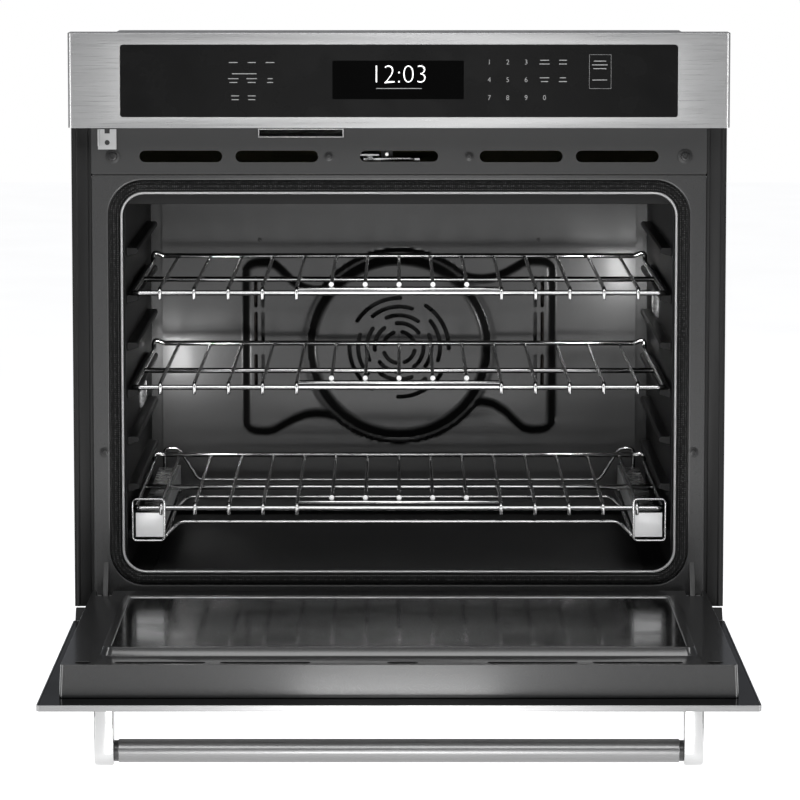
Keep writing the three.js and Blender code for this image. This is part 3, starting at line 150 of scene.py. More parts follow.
def rounded_loop(half, span, radius, count=12):
    """Points (x, other) round a rectangle with round corners: four arcs, each count + 1 points."""
    bottom, top = span
    quarter = np.linspace(0, TAU / 4, count + 1)
    corners = [(half - radius, bottom + radius, -1), (half - radius, top - radius, 0),
               (radius - half, top - radius, 1), (radius - half, bottom + radius, 2)]
    arcs = [np.stack([cx + radius * np.cos(quarter + turn * TAU / 4),
                      cy + radius * np.sin(quarter + turn * TAU / 4)], -1)
            for cx, cy, turn in corners]
    return np.concatenate(arcs)


def loft(loops, cap=False):
    """A skin over closed loops with equal counts; cap closes each end with a fan to its middle."""
    loops = [np.asarray(loop, float) for loop in loops]
    if cap:
        loops = [np.repeat(loops[0].mean(0)[None], len(loops[0]), 0), *loops,
                 np.repeat(loops[-1].mean(0)[None], len(loops[-1]), 0)]
    return np.concatenate(loops), grid_faces(len(loops), len(loops[0]), wrap=True)


def upright(loop, y):
    """(x, z) loop as points at depth y."""
    return np.stack([loop[:, 0], np.full(len(loop), y), loop[:, 1]], -1)


def lay(loop, h):
    """(x, u) loop on the open door: u runs out from the hinge pin and h is the height over it."""
    return np.stack([loop[:, 0], HINGE[1] - loop[:, 1], np.full(len(loop), HINGE[2] + h)], -1)


def bent_path(corners, radius, steps=6):
    """A polyline whose corners are replaced by quadratic bends that start radius before each corner."""
    corners = [np.array(corner, float) for corner in corners]
    path = [corners[0]]
    for before, corner, after in zip(corners, corners[1:], corners[2:]):
        into, out = before - corner, after - corner
        reach = min(radius, np.linalg.norm(into) * 0.49, np.linalg.norm(out) * 0.49)
        start = corner + into / np.linalg.norm(into) * reach
        end = corner + out / np.linalg.norm(out) * reach
        t = np.linspace(0, 1, steps + 1)[:, None]
        path.extend((1 - t) ** 2 * start + 2 * t * (1 - t) * corner + t**2 * end)
    path.append(corners[-1])
    return np.array(path)


def tube(path, radius, sides=10, dome=3):
    """A round wire along a path, with domed ends: a circle carried square to the path."""
    path = np.asarray(path, float)
    along = np.gradient(path, axis=0)
    along /= np.linalg.norm(along, axis=1)[:, None]
    spread = np.abs(along).max(0)
    guide = np.eye(3)[np.argmin(spread)]
    side = np.cross(along, guide)
    side /= np.linalg.norm(side, axis=1)[:, None]
    other = np.cross(along, side)
    rise = np.linspace(0, TAU / 4, dome + 1)[:-1]
    centres = np.concatenate([path[0] - np.cos(rise)[:, None] * along[0] * radius * 0.6, path,
                              path[-1] + np.cos(rise[::-1])[:, None] * along[-1] * radius * 0.6])
    size = np.concatenate([np.sin(rise), np.ones(len(path)), np.sin(rise[::-1])]) * radius
    sides_a = np.concatenate([np.repeat(side[:1], dome, 0), side, np.repeat(side[-1:], dome, 0)])
    sides_b = np.concatenate([np.repeat(other[:1], dome, 0), other, np.repeat(other[-1:], dome, 0)])
    turn = np.linspace(0, TAU, sides, endpoint=False)
    ring = (np.cos(turn)[None, :, None] * sides_a[:, None, :]
            + np.sin(turn)[None, :, None] * sides_b[:, None, :])
    points = centres[:, None, :] + ring * size[:, None, None]
    return points.reshape(-1, 3), grid_faces(len(centres), sides, wrap=True)


def turned(profile, centre, axis, sides=32):
    """A profile of (radius, distance along axis) pairs turned round an axis through centre."""
    profile = np.array(profile, float)
    axis = np.array(axis, float)
    first = np.cross(axis, np.eye(3)[np.argmin(np.abs(axis))])
    first /= np.linalg.norm(first)
    second = np.cross(axis, first)
    turn = np.linspace(0, TAU, sides, endpoint=False)
    ring = np.cos(turn)[:, None] * first + np.sin(turn)[:, None] * second
    points = (np.array(centre) + profile[:, 1, None, None] * axis
              + profile[:, 0, None, None] * ring[None])
    return points.reshape(-1, 3), grid_faces(len(profile), sides, wrap=True)


def straight(start, end, count=2):
    """count points from start to end."""
    return np.linspace(np.array(start, float), np.array(end, float), count)


# ---- material helpers
class Recipe:
    """A node material on Object coordinates, with one Principled shader."""

    INPUTS = {"metallic": "Metallic", "shine": "Specular IOR Level", "coat": "Coat Weight",
              "coat_gloss": "Coat Roughness", "alpha": "Alpha", "glow": "Emission Strength"}

    def __init__(self, name, roughness, **values):
        """Starts the material, with a roughness and any of the values listed in INPUTS."""
        self.material = bpy.data.materials.new(name)
        self.material.use_nodes = True
        self.tree = self.material.node_tree
        self.shader = self.tree.nodes["Principled BSDF"]
        self.shader.inputs["Roughness"].default_value = roughness
        for key, value in values.items():
            self.shader.inputs[self.INPUTS[key]].default_value = value
        self.place = self.node("ShaderNodeTexCoord").outputs["Object"]

    def node(self, kind, **settings):
        """A new node with some of its settings changed."""
        made = self.tree.nodes.new(kind)
        for key, value in settings.items():
            setattr(made, key, value)
        return made

    def link(self, source, target):
        """Joins an output socket to an input socket."""
        self.tree.links.new(source, target)

    def stretched(self, scale):
        """Object coordinates scaled differently along each axis."""
        mapping = self.node("ShaderNodeMapping")
        mapping.inputs["Scale"].default_value = scale
        self.link(self.place, mapping.inputs["Vector"])
        return mapping.outputs["Vector"]

    def noise(self, scale, detail=3.0, roughness=0.5, vector=None):
        """Fractal noise, 0 to 1, about scale waves to the metre."""
        made = self.node("ShaderNodeTexNoise")
        made.inputs["Scale"].default_value = scale
        made.inputs["Detail"].default_value = detail
        made.inputs["Roughness"].default_value = roughness
        self.link(vector or self.place, made.inputs["Vector"])
        return made.outputs["Fac"]

    def cells(self, scale, output="Distance", vector=None, randomness=1.0):
        """Scattered cells, about scale to the metre: the distance to the next middle, or another output."""
        made = self.node("ShaderNodeTexVoronoi")
        made.inputs["Scale"].default_value = scale
        made.inputs["Randomness"].default_value = randomness
        self.link(vector or self.place, made.inputs["Vector"])
        return made.outputs[output]

    def ramp(self, source, stops):
        """Colour ramp from (position, grey or colour) stops."""
        made = self.node("ShaderNodeValToRGB")
        steps = made.color_ramp.elements
        while len(steps) < len(stops):
            steps.new(0.5)
        for step, (position, colour) in zip(steps, stops):
            step.position = position
            step.color = (colour,) * 3 + (1,) if np.isscalar(colour) else (*colour, 1)
        self.link(source, made.inputs["Fac"])
        return made.outputs["Color"]

    def span(self, source, lowest, highest, start=0.0, stop=1.0):
        """Maps start..stop of a value to lowest..highest."""
        made = self.node("ShaderNodeMapRange")
        for key, value in (("From Min", start), ("From Max", stop), ("To Min", lowest), ("To Max", highest)):
            made.inputs[key].default_value = value
        self.link(source, made.inputs["Value"])
        return made.outputs["Result"]

    def mixed(self, share, first, second, blend="MIX"):
        """Colours mixed by a share; each is a socket or a colour."""
        made = self.node("ShaderNodeMix", data_type="RGBA", blend_type=blend)
        inputs = [s for s in made.inputs if s.enabled]
        for socket, value in zip(inputs, (share, first, second)):
            if hasattr(value, "is_linked"):
                self.link(value, socket)
            else:
                socket.default_value = value if np.isscalar(value) else (*value, 1)
        return next(s for s in made.outputs if s.enabled)

    def colour(self, source):
        """Drives the shader's base colour."""
        self.link(source, self.shader.inputs["Base Color"])

    def emit(self, source):
        """Drives the colour of the shader's own light."""
        self.link(source, self.shader.inputs["Emission Color"])

    def rough(self, source):
        """Drives the shader's roughness."""
        self.link(source, self.shader.inputs["Roughness"])

    def bump(self, height, distance, strength=1.0):
        """Turns a height of 0 to 1 into a relief as deep as distance."""
        made = self.node("ShaderNodeBump")
        made.inputs["Distance"].default_value = distance
        made.inputs["Strength"].default_value = strength
        self.link(height, made.inputs["Height"])
        self.link(made.outputs["Normal"], self.shader.inputs["Normal"])


def brushed_steel(name, scale, tone, grain=0.10):
    """Stainless steel brushed along one axis: long fine streaks in tone, gloss and height."""
    recipe = Recipe(name, 0.3, metallic=1.0)
    streaks = recipe.noise(1.0, 6.0, 0.7, recipe.stretched(scale))
    broad = recipe.noise(6.0, 2.0)
    light = recipe.ramp(streaks, [(0.3, tone - grain), (0.7, tone + grain * 0.6)])
    recipe.colour(recipe.mixed(recipe.span(broad, 0.0, 0.25), light, (tone * 0.9,) * 3))
    recipe.rough(recipe.span(streaks, 0.24, 0.40, 0.3, 0.7))
    recipe.bump(streaks, 0.00002, 0.35)
    return recipe.material


def polished_steel(name, tone, gloss):
    """Polished metal with faint polishing marks and a trace of haze."""
    recipe = Recipe(name, gloss, metallic=1.0)
    haze = recipe.noise(60.0, 4.0)
    recipe.colour(recipe.ramp(haze, [(0.3, tone * 0.93), (0.7, tone)]))
    recipe.rough(recipe.span(haze, gloss * 0.7, gloss * 1.5, 0.3, 0.7))
    recipe.bump(recipe.noise(900.0, 2.0), 0.00001, 0.2)
    return recipe.material


def enamel(name, tone, fleck, gloss=0.22, coat=0.15, bends=None, shine=0.5):
    """Porcelain enamel: a dark ground with a fine pale fleck and the slight waviness of fired glass; bends names a
    point attribute that paints shade on steep slopes.
    """
    recipe = Recipe(name, gloss, shine=shine, coat=coat, coat_gloss=0.12)
    specks = recipe.cells(2600.0)
    dust = recipe.noise(1500.0, 2.0)
    ground = recipe.ramp(recipe.noise(9.0, 3.0), [(0.3, tone * 0.85), (0.7, tone * 1.1)])
    flecked = recipe.mixed(recipe.ramp(specks, [(0.10, 1.0), (0.2, 0.0)]), ground, (fleck,) * 3)
    finish = recipe.mixed(recipe.ramp(dust, [(0.60, 0.0), (0.72, 0.5)]), flecked, (tone * 0.3,) * 3)
    # Painted shade: where the named point attribute (a pressing's slope) is high, the colour is darkened towards
    # black.
    if bends:
        bend = recipe.node("ShaderNodeAttribute", attribute_name=bends).outputs["Fac"]
        finish = recipe.mixed(recipe.span(bend, 0.0, 0.95, 0.10, 0.55), finish, (tone * 0.05,) * 3)
    recipe.colour(finish)
    recipe.rough(recipe.span(dust, gloss * 0.8, gloss * 1.5))
    recipe.bump(recipe.noise(420.0, 2.0), 0.00006, 0.25)
    return recipe.material


def satin_paint(name, tone, gloss=0.42, shine=0.5):
    """Powder-coated steel: even dark colour with a fine orange-peel surface."""
    recipe = Recipe(name, gloss, shine=shine)
    peel = recipe.noise(1400.0, 2.0)
    recipe.colour(recipe.ramp(recipe.noise(14.0, 3.0), [(0.3, tone * 0.85), (0.7, tone * 1.12)]))
    recipe.rough(recipe.span(peel, gloss * 0.85, gloss * 1.2))
    recipe.bump(peel, 0.00004, 0.3)
    return recipe.material


def galvanised_steel(name, tone):
    """Zinc-coated sheet: soft crystal spangles that differ a little in tone and gloss."""
    recipe = Recipe(name, 0.42, metallic=0.9)
    spangle = recipe.cells(95.0, "Color")
    grey = recipe.node("ShaderNodeRGBToBW")
    recipe.link(spangle, grey.inputs["Color"])
    recipe.colour(recipe.ramp(grey.outputs["Val"], [(0.2, tone * 0.96), (0.8, tone * 1.02)]))
    recipe.rough(recipe.span(grey.outputs["Val"], 0.40, 0.50, 0.2, 0.8))
    recipe.bump(recipe.noise(700.0, 3.0), 0.00003, 0.2)
    return recipe.material


def woven_sleeve(name):
    """Braided glass-fibre sleeve: crossing strands in two diagonal directions."""
    recipe = Recipe(name, 0.85, shine=0.15)
    strands = recipe.cells(440.0, randomness=0.25)
    recipe.colour(recipe.ramp(strands, [(0.12, 0.085), (0.42, 0.006), (0.8, 0.001)]))
    recipe.bump(strands, 0.0006, 0.8)
    return recipe.material


def black_glass(name, tone=0.006, gloss=0.04, shine=0.5):
    """Opaque polished black glass with a barely uneven surface."""
    recipe = Recipe(name, gloss, shine=shine)
    film = recipe.noise(18.0, 4.0)
    recipe.colour(recipe.ramp(film, [(0.3, tone * 0.8), (0.7, tone * 1.3)]))
    recipe.rough(recipe.span(film, gloss, gloss * 2.2, 0.45, 0.9))
    recipe.bump(recipe.noise(5.0, 1.0), 0.00006, 0.05)
    return recipe.material


def tinted_glass(name, tone, alpha):
    """Dark see-through glass."""
    recipe = Recipe(name, 0.03, alpha=alpha, coat=0.5)
    film = recipe.noise(11.0, 4.0)
    recipe.colour(recipe.ramp(film, [(0.3, tone * 0.8), (0.7, tone * 1.2)]))
    recipe.rough(recipe.span(film, 0.02, 0.09, 0.4, 0.9))
    return recipe.material


def plain_print(name, tone, glow):
    """Silk-screened or lit marks, with slightly uneven ink."""
    recipe = Recipe(name, 0.5, glow=glow)
    ink = recipe.ramp(recipe.noise(1200.0, 2.0), [(0.3, tone * 0.9), (0.7, tone)])
    recipe.colour(ink)
    recipe.emit(ink)
    return recipe.material


def mineral_wool(name):
    """Loose straw-coloured fibres."""
    recipe = Recipe(name, 1.0)
    fibres = recipe.noise(260.0, 6.0, 0.8, recipe.stretched((1.0, 3.0, 1.0)))
    recipe.colour(recipe.ramp(fibres, [(0.3, (0.42, 0.36, 0.2)), (0.7, (0.8, 0.74, 0.52))]))
    recipe.bump(fibres, 0.002, 0.9)
    return recipe.material


def moulded_plastic(name, colour, gloss=0.5):
    """Moulded plastic with a fine spark-eroded grain."""
    recipe = Recipe(name, gloss)
    grain = recipe.noise(1800.0, 2.0)
    recipe.colour(recipe.ramp(grain, [(0.3, tuple(c * 0.85 for c in colour)), (0.7, colour)]))
    recipe.rough(recipe.span(grain, gloss * 0.85, gloss * 1.15))
    recipe.bump(grain, 0.00005, 0.3)
    return recipe.material


def heated_tube(name):
    """Oxidised heating tube: dark brown-grey with heat-mottled bands."""
    recipe = Recipe(name, 0.55, metallic=0.6)
    mottle = recipe.noise(70.0, 5.0)
    recipe.colour(recipe.ramp(mottle, [(0.3, (0.03, 0.026, 0.024)), (0.7, (0.11, 0.095, 0.085))]))
    recipe.rough(recipe.span(mottle, 0.4, 0.7))
    recipe.bump(recipe.noise(1100.0, 2.0), 0.00006, 0.4)
    return recipe.material


def circuit_board(name):
    """Green solder mask with pale copper tracks under it."""
    recipe = Recipe(name, 0.35)
    tracks = recipe.cells(160.0, randomness=0.2)
    recipe.colour(recipe.ramp(tracks, [(0.1, (0.03, 0.2, 0.07)), (0.3, (0.012, 0.09, 0.03))]))
    recipe.bump(tracks, 0.00005, 0.4)
    return recipe.material


PANEL_STEEL = brushed_steel("panel_steel", (14.0, 2400.0, 2400.0), 0.44, 0.04)
# Darker copies of the panel's brushed stainless for the door skin and the handle bar: painted shade.
SHADED_SKIN_STEEL = brushed_steel("door_skin_steel", (14.0, 2400.0, 2400.0), 0.30, 0.04)
SHADED_BAR_STEEL = brushed_steel("handle_bar_steel", (10.0, 1800.0, 1800.0), 0.23, 0.04)
FINISH = {
    "galvanised": galvanised_steel("zinc_sheet", 0.40),
    "stainless": PANEL_STEEL,
    "polished_steel": polished_steel("polished_steel", 0.50, 0.14),
    "rack_chrome": polished_steel("rack_wire_plating", 0.52, 0.15),
    "cavity_enamel": enamel("cavity_enamel", 0.046, 0.18, 0.31),
    "frame_enamel": enamel("frame_enamel", 0.012, 0.07, 0.26),
    "liner_enamel": enamel("liner_enamel", 0.010, 0.07, 0.26, 0.9),
    "dark_paint": satin_paint("dark_plate_paint", 0.011),
    "trim_paint": satin_paint("side_trim_paint", 0.008, 0.38, 0.2),
    "black_glass": black_glass("black_glass"),
    "tinted_glass": black_glass("door_inner_glass", 0.004, 0.10, 0.25),
    "clear_glass": tinted_glass("clear_glass", 0.35, 0.45),
    "woven_seal": woven_sleeve("woven_seal"),
    "wool": mineral_wool("mineral_wool"),
    "board": circuit_board("circuit_board"),
    "display_plastic": moulded_plastic("black_plastic", (0.02, 0.02, 0.021)),
    "white_plastic": moulded_plastic("white_plastic", (0.82, 0.82, 0.8), 0.35),
    "element_sheath": heated_tube("heated_tube"),
    "zinc_steel": polished_steel("zinc_plated_steel", 0.34, 0.25),
}
PRINT_WHITE = plain_print("white_print", 0.30, 0.10)
DIGIT_WHITE = plain_print("lit_digits", 1.0, 0.9)
DARK_COLLAR = satin_paint("dark_collar", 0.02, 0.3)
BLACK_SCREW = satin_paint("blackened_screw", 0.012, 0.28, 0.4)
DARK_HARDWARE = satin_paint("dark_hardware", 0.012, 0.35, 0.35)
FAN_DARK = satin_paint("sooted_fan", 0.012, 0.5)
# The cover's enamel, darkened on its slopes by the bend attribute: painted shade.
SLOPE_SHADED_COVER_ENAMEL = enamel("cover_enamel", 0.046, 0.18, 0.31, bends="bend")
# Darker copies of the cavity's enamel for its side walls, ceiling and floor: painted shade.
SHADED_SIDE_ENAMEL = enamel("side_wall_enamel", 0.005, 0.03, 0.34, 0.0, shine=0.2)
SHADED_FLOOR_ENAMEL = enamel("floor_enamel", 0.008, 0.04, 0.34, 0.0, shine=0.4)
BORDER_GLASS = black_glass("door_border_glass", 0.003, 0.15, 0.15)
PANEL_GLASS = black_glass("control_panel_glass", 0.004, 0.22, 0.08)
# Near-white with a faint glow, for the short wires' ends: a painted glint.
WIRE_TIP_GLINT = plain_print("wire_tip_plating", 0.95, 0.25)
BRIGHT_STEEL = polished_steel("bright_runner_steel", 0.95, 0.42)
# Bright steel for fine beads round the mouth's enamel lip and the door's inner glass: painted highlight lines.
LIP_HIGHLIGHT = polished_steel("lip_shine", 0.42, 0.5)


# ---- refined copies of the frame's nodes
def refined(node, bevel, material, angle):
    """A CAD node's own shape: flat faces merged, and every edge sharper than angle given a small round."""
    source = frame["nodes"][node].data.copy()
    work = bmesh.new()
    work.from_mesh(source)
    bmesh.ops.remove_doubles(work, verts=work.verts, dist=1e-5)
    bmesh.ops.dissolve_limit(work, angle_limit=math.radians(0.5), verts=work.verts, edges=work.edges)
    plain = bpy.data.meshes.new(node + "_sheet")
    work.to_mesh(plain)
    work.free()
    bpy.data.meshes.remove(source)
    plain.polygons.foreach_set("use_smooth", [True] * len(plain.polygons))
    plain.set_sharp_from_angle(angle=math.radians(angle))
    item = shown(node + "_finished", plain)
    plain.materials.append(material or FINISH[SLOT_OF[node]])
    edge = item.modifiers.new("soft edges", "BEVEL")
    edge.width = bevel
    edge.segments = 2
    edge.limit_method = "ANGLE"
    edge.angle_limit = math.radians(angle)
    edge.harden_normals = True
    edge.use_clamp_overlap = True
    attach(item, BODY_OF[node])
    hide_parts(node)
    return item


EDGES = {  # an edge round in mm, and the nodes that get it
    0.2: "switch_plunger",
    0.25: "exhaust_duct vent_bracket control_glass",
    0.3: "control_board latch_hook convection_fan cooling_wheel door_outer_glass door_border "
         "door_middle_glass door_inner_glass",
    0.4: "base_panel top_panel back_panel mounting_rail_right mounting_rail_left bottom_trim vent_plate "
         "latch_motor door_switch temperature_sensor glide_rail_right glide_rail_left hinge_arm_right "
         "hinge_arm_left hinge_body_right hinge_body_left",
    0.5: "side_panel_right side_panel_left display_module cavity_floor cavity_ceiling cavity_wall_right "
         "cavity_wall_left cavity_back convection_motor cooling_housing terminal_box glide_runner_right "
         "glide_runner_left door_skin",
    0.7: "control_frame door_liner",
    2.0: "insulation_wrap",
}
# Some of these are darker copies of the slot's finish, which is painted shade: the cavity's walls, ceiling and
# floor, and the door skin.
OWN_FINISH = {  # nodes whose finish differs from their slot's
    "door_skin": SHADED_SKIN_STEEL, "door_border": BORDER_GLASS, "control_glass": PANEL_GLASS,
    "hinge_arm_right": DARK_HARDWARE, "hinge_arm_left": DARK_HARDWARE, "convection_fan": FAN_DARK,
    "cavity_wall_right": SHADED_SIDE_ENAMEL, "cavity_wall_left": SHADED_SIDE_ENAMEL, "cavity_ceiling": SHADED_SIDE_ENAMEL,
    "cavity_floor": SHADED_FLOOR_ENAMEL, "glide_runner_right": BRIGHT_STEEL, "glide_runner_left": BRIGHT_STEEL,
}
SHALLOW = ("side_panel_right", "side_panel_left", "back_panel", "top_panel")  # pressings with low slopes
SHALLOW_ANGLE, EDGE_ANGLE = 6, 26
for width, nodes in EDGES.items():
    for node in nodes.split():
        refined(node, width * MM, OWN_FINISH.get(node), SHALLOW_ANGLE if node in SHALLOW else EDGE_ANGLE)


# ---- front frame and seal
SEAL_HALF = high("door_gasket", 0)
SEAL_BOTTOM, SEAL_TOP = low("door_gasket", 2), high("door_gasket", 2)
SEAL_CORNER = 40 * MM
SEAL_WIDTH = 12.4 * MM
COLLAR_INSET = 14.2 * MM  # seal's outer edge to the mouth's collar
COLLAR_CORNER = 27 * MM
MOUTH_HALF = SEAL_HALF - COLLAR_INSET
MOUTH_BOTTOM, MOUTH_TOP = SEAL_BOTTOM + COLLAR_INSET, SEAL_TOP - COLLAR_INSET


def front_frame():
    """Loops from the outer return over the flat face, down the seal's channel and back along the collar."""
    half = high("front_frame", 0)
    bottom, top = low("front_frame", 2), high("front_frame", 2)
    face, back = low("front_frame", 1), high("front_frame", 1)
    channel_floor = high("door_gasket", 1) + 0.3 * MM
    play, sheet, edge = 0.6 * MM, 1.5 * MM, 0.7 * MM

    def ring(inset, y):
        """The frame's outline, drawn in by inset."""
        return upright(rounded_loop(half - inset, (bottom + inset, top - inset), 3 * MM + inset * 0.2), y)

    def channel(out, y):
        """The channel's outer wall, grown by out."""
        span = (SEAL_BOTTOM - play - out, SEAL_TOP + play + out)
        return upright(rounded_loop(SEAL_HALF + play + out, span, SEAL_CORNER + out), y)

    def collar(out, y):
        """The mouth's collar, grown by out."""
        span = (MOUTH_BOTTOM - out, MOUTH_TOP + out)
        return upright(rounded_loop(MOUTH_HALF + out, span, COLLAR_CORNER + out), y)

    return loft([
        ring(sheet, back), ring(0, back), ring(0, face + edge), ring(edge, face), ring(edge * 2, face),
        channel(edge * 3, face), channel(edge * 2, face), channel(edge * 0.6, face + edge * 0.4),
        channel(0, face + edge * 1.6), channel(0, channel_floor), collar(sheet, channel_floor),
        collar(sheet, face + 3.2 * MM), collar(sheet * 0.75, face + 2 * MM),
        collar(sheet * 0.25, face + 2 * MM), collar(0, face + 3.2 * MM), collar(0, back - 0.4 * MM),
        collar(sheet * 0.9, back - 0.4 * MM), collar(sheet * 0.9, channel_floor + sheet),
        channel(sheet * 0.9, channel_floor + sheet), channel(sheet * 0.9, face + sheet),
        ring(sheet, face + sheet), ring(sheet, back),
    ])


def bead(half, span, corner, radius, put):
    """A fine round bead: a circle carried round a rounded rectangle; put places a loop at a rise."""
    turn = np.linspace(0, TAU, 10)
    return loft([put(rounded_loop(half + grow, (span[0] - grow, span[1] + grow), corner + grow), rise)
                 for grow, rise in zip(radius * np.cos(turn), radius * np.sin(turn))])


def rolled_lip():
    """The collar's rolled front lip: a bright bead carried round the mouth just inside the seal, a painted
    highlight on the enamel lip.
    """
    y = low("front_frame", 1) + 2.6 * MM
    return bead(MOUTH_HALF, (MOUTH_BOTTOM, MOUTH_TOP), COLLAR_CORNER, 1.8 * MM,
                lambda loop, rise: upright(loop, y - rise))


def door_seal():
    """A crowned band round the mouth: a flattened half-round section carried round the channel's middle."""
    front, back = low("door_gasket", 1), high("door_gasket", 1)
    loops = []
    for angle in np.linspace(0, TAU / 2, 13):
        inset = SEAL_WIDTH / 2 * (1 - math.cos(angle))
        depth = back - (back - front) * math.sin(angle) ** 0.6
        loops.append(upright(rounded_loop(SEAL_HALF - inset, (SEAL_BOTTOM + inset, SEAL_TOP - inset),
                                          SEAL_CORNER - inset), depth))
    return loft(loops + loops[:1])


piece("front_frame_pressing", front_frame(), "chassis", FINISH["frame_enamel"],
      ["front_frame"], sharp=40)
piece("mouth_lip", rolled_lip(), "chassis", LIP_HIGHLIGHT)
piece("door_seal", door_seal(), "chassis", FINISH["woven_seal"], ["door_gasket"])


# ---- racks
RACK_Z = {"top_rack": 404.83 * MM, "middle_rack": 294.1 * MM, "bottom_rack": 152 * MM}  # frame wire's middle
RACK_REACH = 309.5 * MM  # frame wire's middle, each side
RACK_FRONT, RACK_BACK = 32 * MM, 461 * MM
RAIL, WIRE = 3.2 * MM, 2.2 * MM
CROSS_X = np.linspace(-278.5 * MM, 278.5 * MM, 15)
SHORT = range(5, 10)  # cross wires that stop behind the hand pull
WELD = 0.3 * MM  # wires sink this far into each other
PULL_HALF, PULL_Y = 119.4 * MM, RACK_FRONT + 47 * MM  # the hand pull's bar
TIP_Y, TIP_RISE = 76.2 * MM, 5.9 * MM  # the short wires' ends


def cross_bar(half, y, z):
    """A straight rod from side to side, half to each side of the middle."""
    return tube(straight((-half, y, z), (half, y, z)), RAIL, 14)


def rack_wires(z, glides):
    """Every wire of one rack: frame, centre rail, the hand pull's bar and fifteen hooked cross wires."""
    reach, front, back = RACK_REACH, RACK_FRONT, RACK_BACK
    over = z + RAIL + WIRE - WELD
    back_z = over + RAIL - WELD
    inner = reach - 14 * MM
    rise = back_z + (2 * MM if glides else 5 * MM)
    side = [(inner, back, back_z), (reach, back, rise), (reach, back - 4 * MM, z), (reach, front, z)]
    frame_path = [(-x, y, up) for x, y, up in side] + side[::-1]
    bars = [
        tube(bent_path(frame_path, 9 * MM), RAIL - 0.2 * MM, 14),
        cross_bar(inner, back, back_z),
        cross_bar(reach, front + 185 * MM, z - 0.25 * MM),
        cross_bar(PULL_HALF, PULL_Y, z),
    ]
    hook, hook_drop = front - RAIL - WIRE + 0.2 * MM, 6.5 * MM
    for index, x in enumerate(CROSS_X):
        if index in SHORT:
            path = straight((x, front + 45 * MM, over), (x, back + MM, over), 8)
        else:
            path = bent_path([(x, hook, z - hook_drop), (x, hook, over), (x, front + 12 * MM, over),
                              (x, back + MM, over)], 4 * MM)
        bars.append(tube(path, WIRE, 10))
    if glides:
        bars += [runner_ring(side, hook + 0.2 * MM, z) for side in (-1, 1)]
    return joined(bars)


def runner_ring(side, y, z):
    """Fine wire bent to an upright rectangle in front of one runner."""
    a, b = side * (RACK_REACH - 35 * MM), side * (RACK_REACH + 2.4 * MM)
    top, bottom, middle = z + 11 * MM, z - 38 * MM, (a + b) / 2
    ring = [(middle, y, top), (a, y, top), (a, y, bottom), (b, y, bottom), (b, y, top), (middle, y, top)]
    return tube(bent_path(ring, 5 * MM), 1.3 * MM, 10)


def wire_tips(z):
    """Rounded ends of the short wires behind the hand pull: a small dome turned round each wire."""
    dome = [(0, -1.9 * MM), (1.9 * MM, -1.4 * MM), (3 * MM, 0), (3 * MM, 1.5 * MM), (0, 1.5 * MM)]
    return joined([turned(dome, (CROSS_X[index], TIP_Y, z + TIP_RISE), (0, 1, 0), 14) for index in SHORT])


for rack, z in RACK_Z.items():
    # The tips' near-white, faintly glowing finish is a painted glint.
    piece(rack + "_tips", wire_tips(z), rack, WIRE_TIP_GLINT)
    piece(rack + "_wires", rack_wires(z, rack == "bottom_rack"), rack, FINISH["rack_chrome"],
          [rack])


def carriage_wires():
    """Wire carriage under the roll-out rack: two long rods, two bowed cross wires and a high rear wire."""
    z, inner = 119 * MM, 273 * MM
    front, middle, back = 38 * MM, 252 * MM, 470 * MM
    bow = 16 * MM
    bars = []
    for y in (front, middle):
        bars.append(tube(bent_path([(-inner, y, z), (bow - inner, y, z + bow), (inner - bow, y, z + bow),
                                    (inner, y, z)], 6 * MM), WIRE))
    half_rise = [(0, 0), (24, 0), (24, 48), (6, 48), (-19, 8)]
    right = [(inner + x * MM, back, z + up * MM) for x, up in half_rise]
    left = [(-x, y, up) for x, y, up in right]
    bars.append(tube(bent_path(left + right[::-1], 6 * MM), WIRE))
    for x in (-inner, inner):
        bars.append(tube(straight((x, front - 2 * MM, z), (x, back + MM, z)), WIRE + 0.5 * MM))
        stub = math.copysign(inner + 29 * MM, x)
        bars += [tube(straight((x, y, z), (stub, y, z)), WIRE) for y in (72 * MM, 431 * MM)]
    return joined(bars)


piece("carriage_wires", carriage_wires(), "chassis", FINISH["rack_chrome"], ["glide_frame"])


# ---- convection cover
FAN_Z = mid("convection_fan", 2)
COVER_FRONT = high("convection_cover", 1) - 1.5 * MM
LOBE_RISE, DISC_RISE, LIP_RISE = 8, 12, 1.2  # mm: bow tie over plate, disc over bow tie, lip round the disc
LOBE_END, DISC_FOOT, DISC_RIM = 199.5, 124, 118  # mm from the cover's middle


def smoothstep(value, start, stop):
    """0 below start, 1 above stop, and the cubic 3tt - 2ttt between."""
    t = np.clip((value - start) / (stop - start), 0, 1)
    return t * t * (3 - 2 * t)


LOBE_X = [0, 60, 78, 92, 106, 120, 135, 148, 158, 168, 182, 190, 196, 199]
LOBE_TOP = [84, 84, 82, 78, 76, 79, 88, 101, 110, 112.5, 112, 109, 102, 88]
LOBE_BOTTOM = [-98, -98, -96, -92, -91, -93, -99, -106, -112, -114.5, -114, -111, -104, -92]


def bow_tie_edge(x):
    """Upper and lower edge in mm of the raised form over x, for the left lobe; the right is its half turn."""
    left = np.abs(x)
    return np.interp(left, LOBE_X, LOBE_TOP), np.interp(left, LOBE_X, LOBE_BOTTOM)


